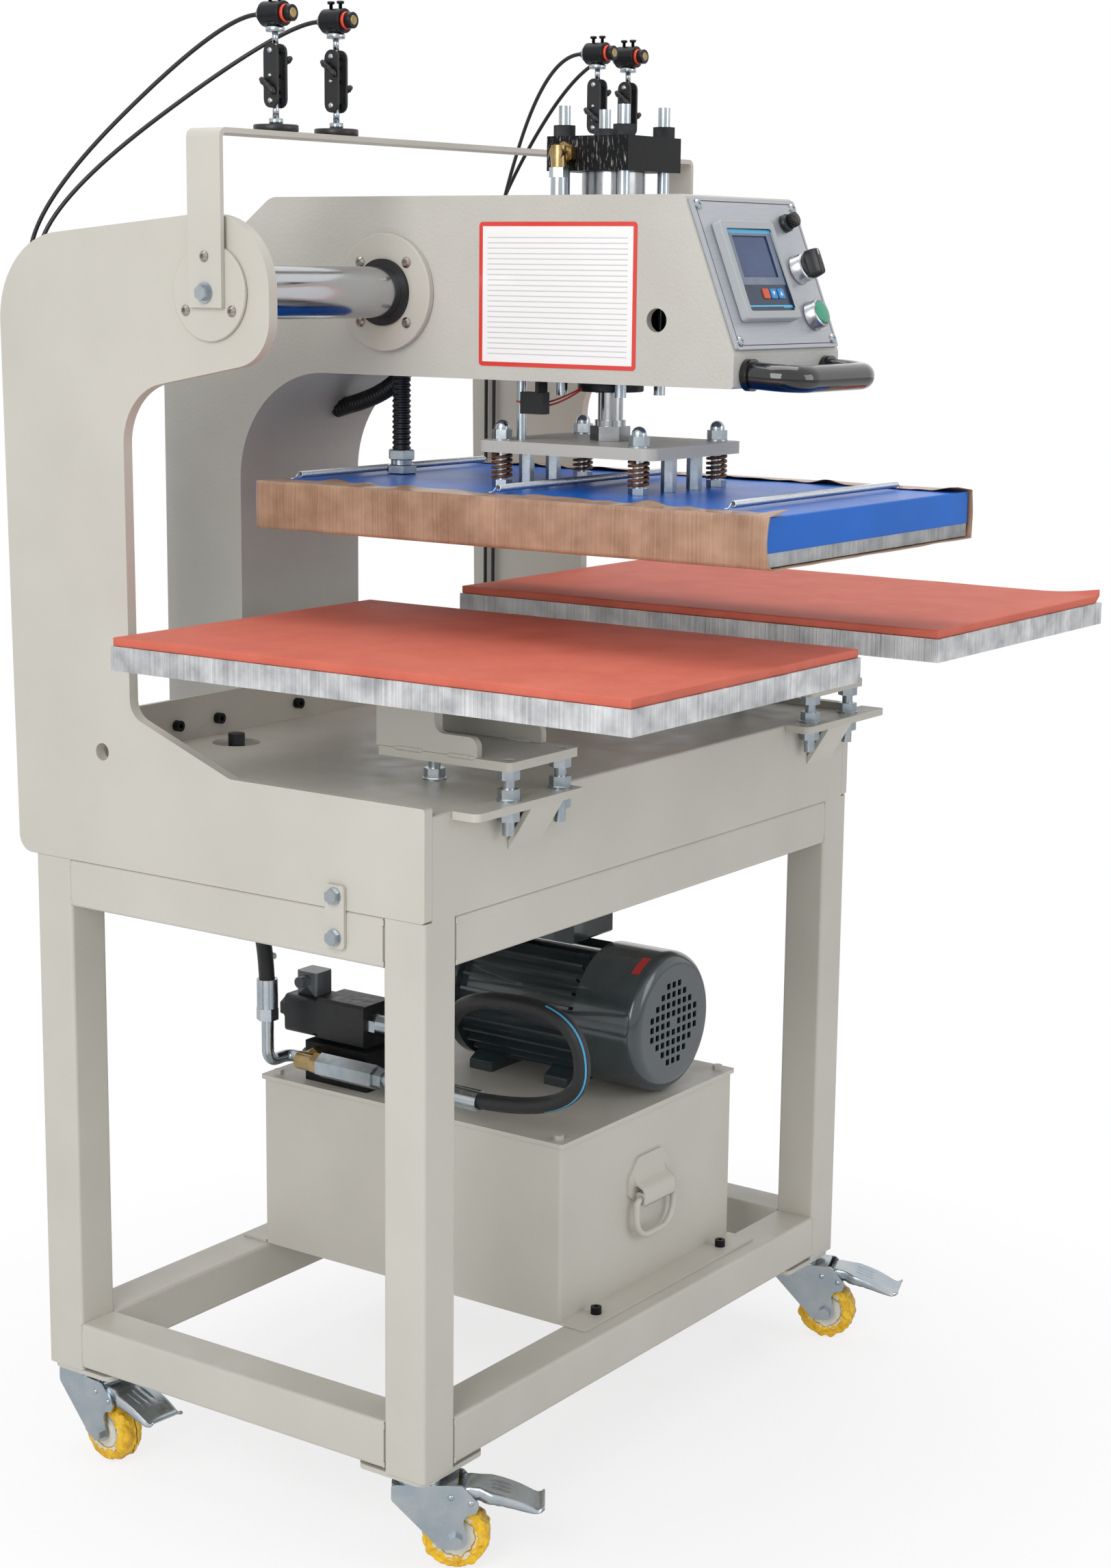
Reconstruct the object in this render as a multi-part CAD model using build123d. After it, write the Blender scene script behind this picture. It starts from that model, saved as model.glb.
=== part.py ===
from build123d import *
import math
import os

# Sizes in millimetres. X is the user's right, Y is away from the user, Z is up from the floor.

# Stand and tray
stand_width = 808.0
stand_depth = 515.0
stand_height = 564.0
tube_size = 50.0
tube_wall = 3.0
tube_corner = 4.0
weld_gap = 0.3
caster_height = 105.0
tray_height = 103.0
sheet = 3.0
tray_back_y = 200.0
tray_lip = 24.0

# Side plates
plate_thick = 12.0
plate_back_y = 290.0
plate_neck_y = 120.0
plate_nose_radius = 72.0
plate_back_radius = 88.0
plate_top_back = 1299.0
plate_throat_radius = 62.0
plate_hole_radius = 9.0

# Slide shaft
shaft_z = 1250.0
shaft_radius = 26.0
cap_radius = 46.0
cap_thick = 4.0
cap_screw_circle = 34.0
running_gap = 0.05
face_gap = 0.3

# Laser bar
bar_width = 42.0
bar_thick = 5.0
bar_top = 1403.0
bar_bend = 9.0

# Work tables
table_width = 400.0
table_length = 610.0
table_thick = 24.0
table_top = 910.5
table_left_x = -268.0
table_right_x = 294.0
table_y = -224.0
pad_inset = 4.0
pad_thick = 8.5

# Pedestals, tabs and levelling studs
foot_width = 116.0
foot_length = 164.0
foot_thick = 9.0
foot_top = 812.0
foot_left_x = -245.0
foot_right_x = 335.0
foot_y = -200.0
web_thick = 8.0
tab_width = 176.0
tab_reach = 30.0
brace_width = 54.0
brace_thick = 5.0
brace_drop = 44.0
tab_thick = 8.0
tab_left_x = -274.0
tab_right_x = 346.0
stud_radius = 6.0
stud_span = 86.0
stud_front_y = -269.5
stud_back_y = -146.0
nut_flats = 19.0
nut_height = 10.0
washer_radius = 12.0
washer_thick = 2.0

# Pressing head
head_x = -35.6
arm_width = 201.0
arm_wall = 8.0
arm_top = 1347.0
arm_bottom = 1165.0
arm_front = -419.0
arm_front_low = 1197.0
arm_front_high = -359.0
column_front = 206.0
column_back = 317.0
column_bottom = 786.0
arch_radius = 118.0
flange_radius = 60.0
flange_thick = 8.0
flange_screw_circle = 43.0
bush_radius = 34.0
bush_lip = 4.0

# Control panel
panel_thick = 4.0
panel_inset = 4.0
controller_size = 100.0
controller_depth = 10.0
controller_left = 25.0
switch_column = 162.0
button_radius = 14.5
knob_radius = 11.5
fuse_radius = 9.0

# Pull handle
handle_radius = 15.0
handle_span = 150.0
handle_reach = 52.0
handle_z = 1178.0

# Press cylinder
cylinder_y = -211.0
block_side = 98.0
block_height = 34.0
block_bottom = 1372.0
barrel_radius = 32.0
barrel_wall = 7.0
tie_offset = 36.0
tie_radius = 6.0
gland_radius = 34.0
gland_drop = 12.0
rod_radius = 13.0
press_gap = 0.4

# Platen
plate_width = 176.0
plate_length = 216.0
plate_height = 12.0
plate_top = 1103.0
plate_corner = 14.0
spring_x = 73.0
spring_y = 84.0
spring_radius = 11.0
spring_turns = 5.5
spring_wire = 2.6
spring_wire_high = 2.1
rivet_x = 24.0
rivet_y = 88.0
heater_width = 404.0
heater_length = 616.0
heater_y = -212.0
heater_top = 1056.0
cover_height = 33.0
cover_wall = 2.0
platen_thick = 13.0
sheet_thick = 1.2
sheet_fold = 34.0
guide_rod_radius = 5.0
guide_rod_x = -56.0
guide_rod_y = 72.0
gland_x = -14.0
gland_y = 262.0
conduit_radius = 8.5

# Tank
tank_left = -100.0
tank_width = 345.0
tank_front = -205.0
tank_depth = 418.0
tank_top = 362.0
tank_bottom = 158.3
tank_wall = 3.0
tank_lid = 5.0
lid_lip = 3.0
bail_x = 70.0
bail_z = 262.0
bail_width = 74.0
bail_drop = 44.0
bail_wire = 3.6

# Motor
motor_x = 125.0
motor_z = 444.0
motor_radius = 68.0
cowl_radius = 80.0
motor_front = -200.0
cowl_depth = 84.0
motor_back = 62.0
fin_count = 28
fin_height = 11.0
fin_thick = 3.2
grid_pitch = 11.0
grid_hole = 7.0

# Valve, manifold and hoses
manifold_x = -52.0
manifold_y = 118.0
hose_radius = 9.0
hose_bend = 56.0
line_z = 392.0
line_x = -108.0
loop_z = 510.0
loop_front = -236.0
feed_bend = 40.0

# Casters
wheel_radius = 36.0
wheel_width = 30.0
caster_trail = 38.0
caster_inset = 30.0
caster_pad_x = 104.0
caster_pad_y = 88.0
fork_gap = 36.0
fork_thick = 2.6
axle_radius = 4.0
swivel_radius = 24.0
pedal_length = 78.0

# Laser pointers
laser_left = (-309.0, -218.0)
laser_right = (241.0, 303.0)
laser_y = 0.0
magnet_radius = 22.0
magnet_height = 7.0
laser_head_z = 1514.0
laser_head_radius = 9.0
laser_head_length = 46.0
cable_radius = 2.2

# Where the parts meet
stand_top = caster_height + stand_height
tray_top = stand_top + tray_height
half_w = stand_width / 2
half_d = stand_depth / 2
table_bottom = table_top - table_thick
heater_bottom = heater_top - cover_height - platen_thick
sheet_bottom = heater_bottom - face_gap - sheet_thick
pad_top = table_top + pad_thick
stroke = sheet_bottom - pad_top - press_gap
side_travel = half_w - plate_thick - arm_width / 2 - flange_thick - bush_lip - 3.0
arm_left = head_x - arm_width / 2
arm_right = head_x + arm_width / 2
frame_x = (table_left_x + table_right_x) / 2
frame_y = (table_y - table_length / 2 + column_back) / 2

os.makedirs("parts", exist_ok=True)
shift = Location((-frame_x, -frame_y, 0))


def save(name, *solids):
    flat = []
    for item in solids:
        flat.extend(item if isinstance(item, (list, tuple)) else [item])
    moved = []
    for item in flat:
        moved.extend(item.moved(shift).solids())
    shape = moved[0] if len(moved) == 1 else Compound(children=moved)
    shape.label = name
    export_step(shape, f"parts/{name}.step")
    print(name, len(moved))


def block(x0, x1, y0, y1, z0, z1):
    middle = ((x0 + x1) / 2, (y0 + y1) / 2, (z0 + z1) / 2)
    return Pos(*middle) * Box(abs(x1 - x0), abs(y1 - y0), abs(z1 - z0))


def bar_between(start, end, radius, hole=0.0):
    line = Vector(*end) - Vector(*start)
    plane = Plane(origin=start, z_dir=line)
    body = extrude(plane * Circle(radius), line.length)
    if hole:
        body -= extrude(plane * Circle(hole), line.length)
    return body


def hex_between(start, end, flats):
    line = Vector(*end) - Vector(*start)
    plane = Plane(origin=start, z_dir=line)
    return extrude(plane * RegularPolygon(flats / 2, 6, major_radius=False), line.length)


def outline(corners, plane):
    # Each corner is (across, up, corner radius).
    count = len(corners)
    ends = []
    for index in range(count):
        here = Vector(corners[index][0], corners[index][1])
        before = Vector(corners[index - 1][0], corners[index - 1][1])
        after = Vector(corners[(index + 1) % count][0], corners[(index + 1) % count][1])
        radius = corners[index][2]
        inward = (before - here).normalized()
        onward = (after - here).normalized()
        if radius <= 0:
            ends.append((here, None, here))
            continue
        half = math.acos(max(-1.0, min(1.0, inward.dot(onward)))) / 2
        reach = radius / math.tan(half)
        middle = (inward + onward).normalized()
        centre = here + middle * (radius / math.sin(half))
        ends.append((here + inward * reach, centre - middle * radius, here + onward * reach))
    edges = []
    for index in range(count):
        first, mid, last = ends[index]
        if mid is not None:
            edges.append(ThreePointArc(first, mid, last))
        following = ends[(index + 1) % count][0]
        if (following - last).length > 0.001:
            edges.append(Line(last, following))
    return plane * make_face(edges)


def side_view(corners, x0, x1):
    return extrude(outline(corners, Plane.YZ.offset(x0)), x1 - x0)


def top_view(corners, z0, z1):
    return extrude(outline(corners, Plane.XY.offset(z0)), z1 - z0)


def front_view(corners, y0, y1):
    plane = Plane(origin=(0, y0, 0), x_dir=(1, 0, 0), z_dir=(0, -1, 0))
    return extrude(outline(corners, plane), -(y1 - y0))


def washer(x, y, z, up, radius, thick, hole):
    ring = Circle(radius) - Circle(hole)
    return extrude(Plane(origin=(x, y, z), z_dir=up) * ring, thick)


def square_tube(length):
    outer = RectangleRounded(tube_size, tube_size, tube_corner)
    inner = RectangleRounded(tube_size - 2 * tube_wall, tube_size - 2 * tube_wall, tube_corner - 2)
    return extrude(outer - inner, length)


def swept(points, radii, radius, hole=0.0, start=None):
    path = FilletPolyline(*points, radius=radii) if len(points) > 2 else Polyline(*points)
    first = Vector(*points[1]) - Vector(*points[0])
    plane = Plane(origin=points[0], z_dir=first)
    profile = plane * Circle(radius)
    body = sweep(profile, path=path)
    if hole:
        body -= sweep(plane * Circle(hole), path=path)
    return body


def dome_screw(point, out, radius, height, flats):
    # A button head: a flat-topped dome with a hexagon socket.
    plane = Plane(origin=point, z_dir=out)
    base = extrude(plane * Circle(radius), height * 0.35)
    dome = loft([plane.offset(height * 0.35) * Circle(radius), plane.offset(height) * Circle(radius * 0.62)])
    socket = extrude(plane.offset(height) * RegularPolygon(flats / 2, 6, major_radius=False), -height * 0.6)
    return (base + dome) - socket


# Stand: four legs, four top rails, four bottom rails
frame = []
leg_x = half_w - tube_size / 2
leg_y = half_d - tube_size / 2
for sx in (-1, 1):
    for sy in (-1, 1):
        frame.append(Pos(sx * leg_x, sy * leg_y, caster_height) * square_tube(stand_height))
long_rail = stand_width - 2 * tube_size - 2 * weld_gap
short_rail = stand_depth - 2 * tube_size - 2 * weld_gap
for rail_z in (caster_height + tube_size / 2 + 3, stand_top - tube_size / 2):
    for sy in (-1, 1):
        rail = Pos(-long_rail / 2, sy * leg_y, rail_z) * Rot(0, 90, 0) * square_tube(long_rail)
        frame.append(rail)
    for sx in (-1, 1):
        rail = Pos(sx * leg_x, short_rail / 2, rail_z) * Rot(90, 0, 0) * square_tube(short_rail)
        frame.append(rail)
save("stand_frame", frame)

# Tray: a folded sheet with a front wall, a back wall and side flanges
tray_in = half_w - plate_thick - face_gap
tray_back_z = tray_top + 36.0
tray_profile = [
    (-half_d, stand_top, 0), (-half_d, tray_top, 3), (tray_back_y, tray_top, 0),
    (tray_back_y, tray_top - sheet, 0), (-half_d + sheet, tray_top - sheet, 0),
    (-half_d + sheet, stand_top, 0),
]
tray = side_view(tray_profile, -tray_in, tray_in)
for sx in (-1, 1):
    side_x = sx * tray_in
    inner_x = side_x - sx * sheet
    tray += block(inner_x, side_x, -half_d + sheet, tray_back_y, stand_top, tray_top - sheet)
tray += block(-tray_in, tray_in, tray_back_y - tray_lip, tray_back_y, stand_top, stand_top + sheet)
hose_hole_x = -210.0
tray -= Pos(hose_hole_x, 150, tray_top) * Cylinder(26, 30)
tabs = []
gussets = []
for tab_x in (tab_left_x, tab_right_x):
    front = -half_d - tab_reach
    back = stud_front_y + 34
    corners = [
        (tab_x - tab_width / 2, front, 8), (tab_x + tab_width / 2, front, 3),
        (tab_x + tab_width / 2, -half_d - weld_gap, 0), (tab_x - tab_width / 2, -half_d - weld_gap, 0),
    ]
    tabs.append(top_view(corners, tray_top - tab_thick, tray_top))
for foot_x in (foot_left_x, foot_right_x):
    brace_top = tray_top - tab_thick - weld_gap
    brace = [
        (-half_d - weld_gap, brace_top - brace_drop, 0), (-half_d - weld_gap, brace_top - brace_drop + 9, 0),
        (-half_d - tab_reach + 9, brace_top, 0), (-half_d - tab_reach + 2, brace_top, 0),
    ]
    gussets.append(side_view(brace, foot_x - brace_width / 2, foot_x + brace_width / 2))
for foot_x in (foot_left_x, foot_right_x):
    for px, py in ((-stud_span / 2, stud_front_y), (stud_span / 2, stud_front_y), (0, stud_back_y)):
        hole = Pos(foot_x + px, py, tray_top) * Cylinder(stud_radius + 0.4, 60)
        tray -= hole
        tabs = [piece - hole for piece in tabs]
save("tray", tray)

# Side plates: one C-shaped outline with a nose that carries the shaft
neck_low = tray_top + 96.0
side_profile = [
    (-half_d, stand_top + 0.3, 4), (plate_back_y - 9, stand_top + 0.3, 18),
    (plate_back_y, plate_top_back, plate_back_radius),
    (26, plate_top_back + 24, 40), (-plate_nose_radius, plate_top_back + 26, plate_nose_radius - 1),
    (-plate_nose_radius, shaft_z - 62, 46), (plate_neck_y, shaft_z - 98, plate_throat_radius),
    (plate_neck_y - 2, neck_low - 38, 22), (-15, tray_top + 8, 20), (-half_d, tray_top + 8, 3),
]
for name, side in (("side_plate_left", -1), ("side_plate_right", 1)):
    x_out = side * half_w
    x_in = side * (half_w - plate_thick)
    plate = side_view(side_profile, min(x_out, x_in), max(x_out, x_in))
    plate -= Pos((x_out + x_in) / 2, 0, shaft_z) * Rot(0, 90, 0) * Cylinder(shaft_radius + running_gap, 40)
    plate -= Pos((x_out + x_in) / 2, 158, tray_top + 16) * Rot(0, 90, 0) * Cylinder(plate_hole_radius, 40)
    save(name, plate)

# Back wall of the tray, which the column's foot runs behind
wall_y = tray_back_y + face_gap
wall = block(-tray_in, tray_in, wall_y, wall_y + 5, stand_top + 2, tray_top + 46)
wall = fillet(wall.edges().filter_by(Axis.Y), 6)
save("back_wall", wall)

# Slide shaft with a centre hole at each end
shaft = Pos(0, 0, shaft_z) * Rot(0, 90, 0) * Cylinder(shaft_radius, stand_width)
shaft = chamfer(shaft.edges(), 1.0)
save("slide_shaft", shaft)

# End caps and the lower guide pins
caps = []
for side in (-1, 1):
    x0 = side * (half_w + face_gap)
    x1 = x0 + side * cap_thick
    cap = bar_between((x0, 0, shaft_z), (x1, 0, shaft_z), cap_radius)
    cap = fillet(cap.edges().filter_by(GeomType.CIRCLE), 1.2)
    caps.append(cap)
save("shaft_end_caps", caps)

# Laser bar: flat bar bent down at both ends
bar_x = half_w + face_gap + cap_thick + face_gap + bar_thick
bar_foot = shaft_z - 14
bar_profile = [
    (-bar_x, bar_foot, 0), (-bar_x, bar_top, bar_bend), (bar_x, bar_top, bar_bend),
    (bar_x, bar_foot, 0), (bar_x - bar_thick, bar_foot, 0),
    (bar_x - bar_thick, bar_top - bar_thick, bar_bend - bar_thick),
    (-bar_x + bar_thick, bar_top - bar_thick, bar_bend - bar_thick), (-bar_x + bar_thick, bar_foot, 0),
]
laser_bar = front_view(bar_profile, laser_y - bar_width / 2, laser_y + bar_width / 2)
save("laser_bar", laser_bar)

# Frame screws: cap screws, bar bolts, back wall screws, link straps' bolts
screws = []
for side in (-1, 1):
    cap_face = side * (half_w + face_gap + cap_thick)
    bar_face = side * bar_x
    for angle in (90, 210, 330):
        cy = cap_screw_circle * math.cos(math.radians(angle))
        cz = shaft_z + cap_screw_circle * math.sin(math.radians(angle))
        seat = bar_face if angle == 90 else cap_face
        screws.append(dome_screw((seat, cy, cz), (side, 0, 0), 5.2, 3.4, 4))
    screws.append(washer(bar_face, 0, shaft_z, (side, 0, 0), 10, 1.6, 4.2))
    screws.append(hex_between((bar_face + side * 1.6, 0, shaft_z), (bar_face + side * 7.6, 0, shaft_z), 13))
for sx in (-250.0, -185.0, -53.0, 90.0, 200.0):
    screws.append(bar_between((sx, tray_back_y, tray_top + 18), (sx, tray_back_y - 7, tray_top + 18), 6, 2.6))

# Link straps that tie the tray to the stand
strap_y = -151.0
straps = []
strap_bolts = []
for side in (-1, 1):
    x0 = side * (half_w + face_gap)
    x1 = x0 + side * 4
    corners = [
        (strap_y - 12, stand_top - 38, 4), (strap_y + 12, stand_top - 38, 4),
        (strap_y + 12, stand_top + 25, 4), (strap_y - 12, stand_top + 25, 4),
    ]
    straps.append(side_view(corners, min(x0, x1), max(x0, x1)))
    for bz in (stand_top - 27, stand_top + 14):
        strap_bolts.append(washer(x1, strap_y, bz, (side, 0, 0), 8.5, 1.5, 4.2))
        strap_bolts.append(hex_between((x1 + side * 1.5, strap_y, bz), (x1 + side * 7, strap_y, bz), 13))
save("tray_brackets", tabs, gussets, straps)

# Pedestals: a foot plate and two notched uprights under each table
pedestals = []
for foot_x in (foot_left_x, foot_right_x):
    x0 = foot_x - foot_width / 2
    x1 = foot_x + foot_width / 2
    y0 = foot_y - foot_length / 2
    y1 = foot_y + foot_length / 2
    foot = block(x0, x1, y0, y1, foot_top - foot_thick, foot_top)
    foot = fillet(foot.edges().filter_by(Axis.Z), 5)
    for px, py in ((-stud_span / 2, stud_front_y), (stud_span / 2, stud_front_y), (0, stud_back_y)):
        foot -= Pos(foot_x + px, py, foot_top) * Cylinder(stud_radius + 0.4, 60)
    notch = [
        (y1, foot_top + 0.3, 0), (y1, table_bottom - 0.3, 0), (y0 + 30, table_bottom - 0.3, 0),
        (y0 + 30, table_bottom - 18, 8), (y0 + 92, table_bottom - 18, 12), (y0 + 92, foot_top + 20, 12),
        (y0 + 40, foot_top + 20, 10), (y0 + 40, foot_top + 0.3, 0),
    ]
    pedestals.append(foot)
    pedestals.append(side_view(notch, x0 + 0.5, x0 + 0.5 + web_thick))
    pedestals.append(side_view(notch, x1 - 0.5 - web_thick, x1 - 0.5))
save("pedestals", pedestals)

# Levelling studs with their nuts
studs = []
nuts = []
for foot_x in (foot_left_x, foot_right_x):
    for px, py in ((-stud_span / 2, stud_front_y), (stud_span / 2, stud_front_y), (0, stud_back_y)):
        x = foot_x + px
        low = tray_top - tab_thick - 26
        studs.append(bar_between((x, py, low), (x, py, foot_top - 1), stud_radius))
        hole = stud_radius + 0.02
        for z0, up in ((tray_top, 1), (tray_top - tab_thick, -1)):
            if up < 0 and py > -half_d + 20:
                z0 = tray_top - sheet
            nuts.append(washer(x, py, z0, (0, 0, up), washer_radius, washer_thick, hole))
            a = z0 + up * washer_thick
            b = a + up * nut_height
            nut = hex_between((x, py, a), (x, py, b), nut_flats)
            nuts.append(nut - bar_between((x, py, a), (x, py, b), hole))
        a = foot_top - foot_thick
        nut = hex_between((x, py, a), (x, py, a - nut_height), nut_flats)
        nuts.append(nut - bar_between((x, py, a), (x, py, a - nut_height), hole))
save("levelling_studs", studs, nuts)

# Work tables: sawn aluminium slabs with fine ridges along the edges
tables = []
pads = []
for table_x in (table_left_x, table_right_x):
    x0 = table_x - table_width / 2
    x1 = table_x + table_width / 2
    y0 = table_y - table_length / 2
    y1 = table_y + table_length / 2
    slab = block(x0, x1, y0, y1, table_bottom, table_top)
    slab = chamfer(slab.edges().filter_by(Axis.Z), 0.8)
    tables.append(slab)
    pad = block(x0 + pad_inset, x1 - pad_inset, y0 + pad_inset, y1 - pad_inset, table_top, table_top + pad_thick)
    pad = fillet(pad.edges().filter_by(Axis.Z), 3)
    pads.append(pad)
save("work_tables", tables)
save("silicone_pads", pads)

# Oil tank: sheet box, lid and bottom flanges
x0 = tank_left
x1 = tank_left + tank_width
y0 = tank_front
y1 = tank_front + tank_depth
tank = block(x0, x1, y0, y1, tank_bottom, tank_top - tank_lid)
tank = fillet(tank.edges().filter_by(Axis.Z), 4)
tank -= block(x0 + tank_wall, x1 - tank_wall, y0 + tank_wall, y1 - tank_wall, tank_bottom + tank_wall, tank_top)
for fx, fy in ((x0, 1), (x0, -1)):
    edge = y0 if fy < 0 else y1
    tank += block(x0, x1, edge, edge + fy * 34, tank_bottom, tank_bottom + tank_wall)
handle_plate = [
    (bail_x - 42, bail_z + 26, 6), (bail_x - 42, bail_z + 6, 4), (bail_x - 26, bail_z - 6, 4),
    (bail_x + 26, bail_z - 6, 4), (bail_x + 42, bail_z + 6, 4), (bail_x + 42, bail_z + 26, 6),
    (bail_x + 24, bail_z + 46, 10), (bail_x - 24, bail_z + 46, 10),
]
tank += front_view(handle_plate, y0 - 3, y0)
bail_y = y0 - 10
ears = []
for sx in (-1, 1):
    ear_x = bail_x + sx * (bail_width / 2 - 13)
    ear = block(ear_x - 4, ear_x + 4, y0 - 16, y0 - 3, bail_z - 7, bail_z + 7)
    ear = fillet(ear.edges().filter_by(Axis.X), 3)
    ear -= bar_between((ear_x - 6, bail_y, bail_z), (ear_x + 6, bail_y, bail_z), bail_wire + running_gap)
    ears.append(ear)
tank += ears
save("oil_tank", tank)
lid = block(x0 - lid_lip, x1 + lid_lip, y0 - lid_lip, y1 + lid_lip, tank_top - tank_lid + face_gap, tank_top)
lid = fillet(lid.edges().filter_by(Axis.Z), 4)
save("tank_lid", lid)
bolts = []
for bx in (x0 + 12, x1 - 12):
    for by in (y0 + 12, y1 - 12):
        bolts.append(hex_between((bx, by, tank_top), (bx, by, tank_top + 5), 10))
for bx in (x0 + 45, x1 - 45):
    for by in (y0 - 17, y1 + 17):
        bolts.append(bar_between((bx, by, tank_bottom + tank_wall), (bx, by, tank_bottom + tank_wall + 8), 6, 2.6))
save("frame_screws", screws, strap_bolts, bolts)

# Tank handle's bail
bail_path = [
    (bail_x - 15, bail_y, bail_z), (bail_x - bail_width / 2, bail_y, bail_z),
    (bail_x - bail_width / 2, bail_y, bail_z - bail_drop), (bail_x + bail_width / 2, bail_y, bail_z - bail_drop),
    (bail_x + bail_width / 2, bail_y, bail_z), (bail_x + 15, bail_y, bail_z),
]
bail = swept(bail_path, [7, 24, 24, 7], bail_wire)
save("tank_bail", bail)

# Motor: finned body with feet and a terminal box
body_front = motor_front + cowl_depth
motor = bar_between((motor_x, body_front + 0.3, motor_z), (motor_x, motor_back, motor_z), motor_radius)
fins = []
for index in range(fin_count):
    angle = 360.0 / fin_count * index
    if 250 < angle < 290:
        continue
    fin = extrude(
        Plane(origin=(motor_x, body_front + 8, motor_z), x_dir=(1, 0, 0), z_dir=(0, 1, 0))
        * Rot(0, 0, angle) * Pos(motor_radius + fin_height / 2 - 1.5, 0) * Rectangle(fin_height, fin_thick),
        motor_back - body_front - 26,
    )
    fins.append(fin)
for fin in fins:
    motor += fin
flange = bar_between((motor_x, motor_back - 12, motor_z), (motor_x, motor_back, motor_z), cowl_radius)
motor += flange
motor += bar_between((motor_x, motor_back, motor_z), (motor_x, motor_back + 40, motor_z), 46)
foot_block = [
    (motor_x - 62, tank_top + face_gap, 0), (motor_x + 62, tank_top + face_gap, 0),
    (motor_x + 62, tank_top + 11, 3), (motor_x + 40, tank_top + 22, 6), (motor_x + 30, motor_z - 40, 0),
    (motor_x - 30, motor_z - 40, 0), (motor_x - 40, tank_top + 22, 6), (motor_x - 62, tank_top + 11, 3),
]
for foot_start in (body_front + 18, motor_back - 54):
    motor += front_view(foot_block, foot_start, foot_start + 32)
box_side = [
    (body_front + 30, motor_z + 79.5, 3), (motor_back - 22, motor_z + 79.5, 3),
    (motor_back - 22, motor_z + 118, 8), (body_front + 30, motor_z + 118, 8),
]
terminal = side_view(box_side, motor_x - 34, motor_x + 44)
terminal += bar_between((motor_x + 44, 0, motor_z + 98), (motor_x + 58, 0, motor_z + 98), 9)
save("motor", motor, terminal)

# Motor cowl: a spun cup with a square-hole grid
cowl_plane = Plane(origin=(motor_x, motor_front, motor_z), x_dir=(1, 0, 0), z_dir=(0, 1, 0))
cowl = extrude(cowl_plane * Circle(cowl_radius), cowl_depth)
cowl = fillet(cowl.faces().sort_by(Axis.Y)[0].edges(), 15)
inside = extrude(cowl_plane.offset(2.5) * Circle(cowl_radius - 2.5), cowl_depth)
inside = fillet(inside.faces().sort_by(Axis.Y)[0].edges(), 12.5)
cowl -= inside
holes = []
for ix in range(-4, 5):
    for iz in range(-4, 5):
        if math.hypot(ix, iz) * grid_pitch < 46 and (ix, iz) != (0, 0):
            holes.append(Pos(ix * grid_pitch, iz * grid_pitch) * RectangleRounded(grid_hole, grid_hole, 1.2))
grid = Sketch() + holes
cowl -= extrude(cowl_plane.offset(-1) * grid, 6)
save("motor_cowl", cowl)

# Cooling fan and its stub shaft
fan_back = body_front - 4
fan = bar_between((motor_x, fan_back - 26, motor_z), (motor_x, body_front, motor_z), 15)
for index in range(6):
    blade = Pos(motor_x, fan_back - 13, motor_z) * Rot(0, 60 * index, 0) * Pos(38, 0, 0) * Box(52, 22, 2.4)
    fan += blade
fan += bar_between((motor_x, fan_back - 3, motor_z), (motor_x, fan_back, motor_z), 66)
save("motor_fan", fan)

# Manifold and valve on the tank lid
mx = manifold_x
my = manifold_y
manifold_top = tank_top + 46
valve_top = manifold_top + 50
manifold = block(mx - 34, mx + 34, my - 46, my + 46, tank_top + face_gap, manifold_top)
manifold = chamfer(manifold.edges().filter_by(Axis.Z), 2)
save("manifold", manifold)
valve = block(mx - 26, mx + 26, my - 34, my + 34, manifold_top + face_gap, valve_top)
valve = chamfer(valve.edges().filter_by(Axis.Y), 3)
coil = block(mx - 24, mx + 24, my + 34 + face_gap, my + 84, manifold_top + 2, valve_top - 4)
coil = fillet(coil.edges().filter_by(Axis.Y), 6)
coil += bar_between((mx, my + 84, manifold_top + 24), (mx, my + 92, manifold_top + 24), 17)
coil += hex_between((mx, my + 92, manifold_top + 24), (mx, my + 102, manifold_top + 24), 22)
connector = block(mx - 14, mx + 14, my + 44, my + 74, valve_top - 3.7, valve_top + 24)
connector = fillet(connector.edges().filter_by(Axis.Z), 3)
connector += bar_between((mx - 14, my + 59, valve_top + 14), (mx - 28, my + 59, valve_top + 14), 6.5)
save("solenoid_valve", valve, coil, connector)

# Pipe fittings: elbows, non-return valve and crimped hose ends
fittings = []
out_x = mx - 34
line_y = my + 26
fittings.append(hex_between((out_x - 0.3, line_y, line_z), (out_x - 9, line_y, line_z), 22))
elbow = bar_between((out_x - 9.3, line_y, line_z), (line_x, line_y, line_z), 8)
elbow += bar_between((line_x, line_y + 9, line_z), (line_x, line_y - 14, line_z), 10)
fittings.append(elbow)
fittings.append(hex_between((line_x, line_y - 14.3, line_z), (line_x, line_y - 24, line_z), 22))
fittings.append(hex_between((line_x, line_y - 24.3, line_z), (line_x, line_y - 104, line_z), 25))
fittings.append(hex_between((line_x, line_y - 104.3, line_z), (line_x, line_y - 116, line_z), 20))
pipe_end = -66.0
fittings.append(bar_between((line_x, line_y - 116.3, line_z), (line_x, pipe_end, line_z), 8))
fittings.append(bar_between((line_x, pipe_end - 0.3, line_z), (line_x, pipe_end - 38, line_z), 12, hose_radius + 0.1))
high_z = manifold_top + 28
port_x = mx - 10
fittings.append(hex_between((port_x, my - 34.3, high_z), (port_x, my - 46, high_z), 22))
fittings.append(bar_between((port_x, my - 46.3, high_z), (port_x, my - 80, high_z), 12, hose_radius + 0.1))
riser_x = mx - 58
riser_y = my + 80
port_back = mx - 22
riser_z = tank_top + 20
fittings.append(hex_between((port_back, my + 46.3, riser_z), (port_back, my + 56, riser_z), 22))
pipe = [
    (port_back, my + 56.3, riser_z), (port_back, riser_y, riser_z), (riser_x, riser_y, riser_z),
    (riser_x, riser_y, tank_top + 70),
]
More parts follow.
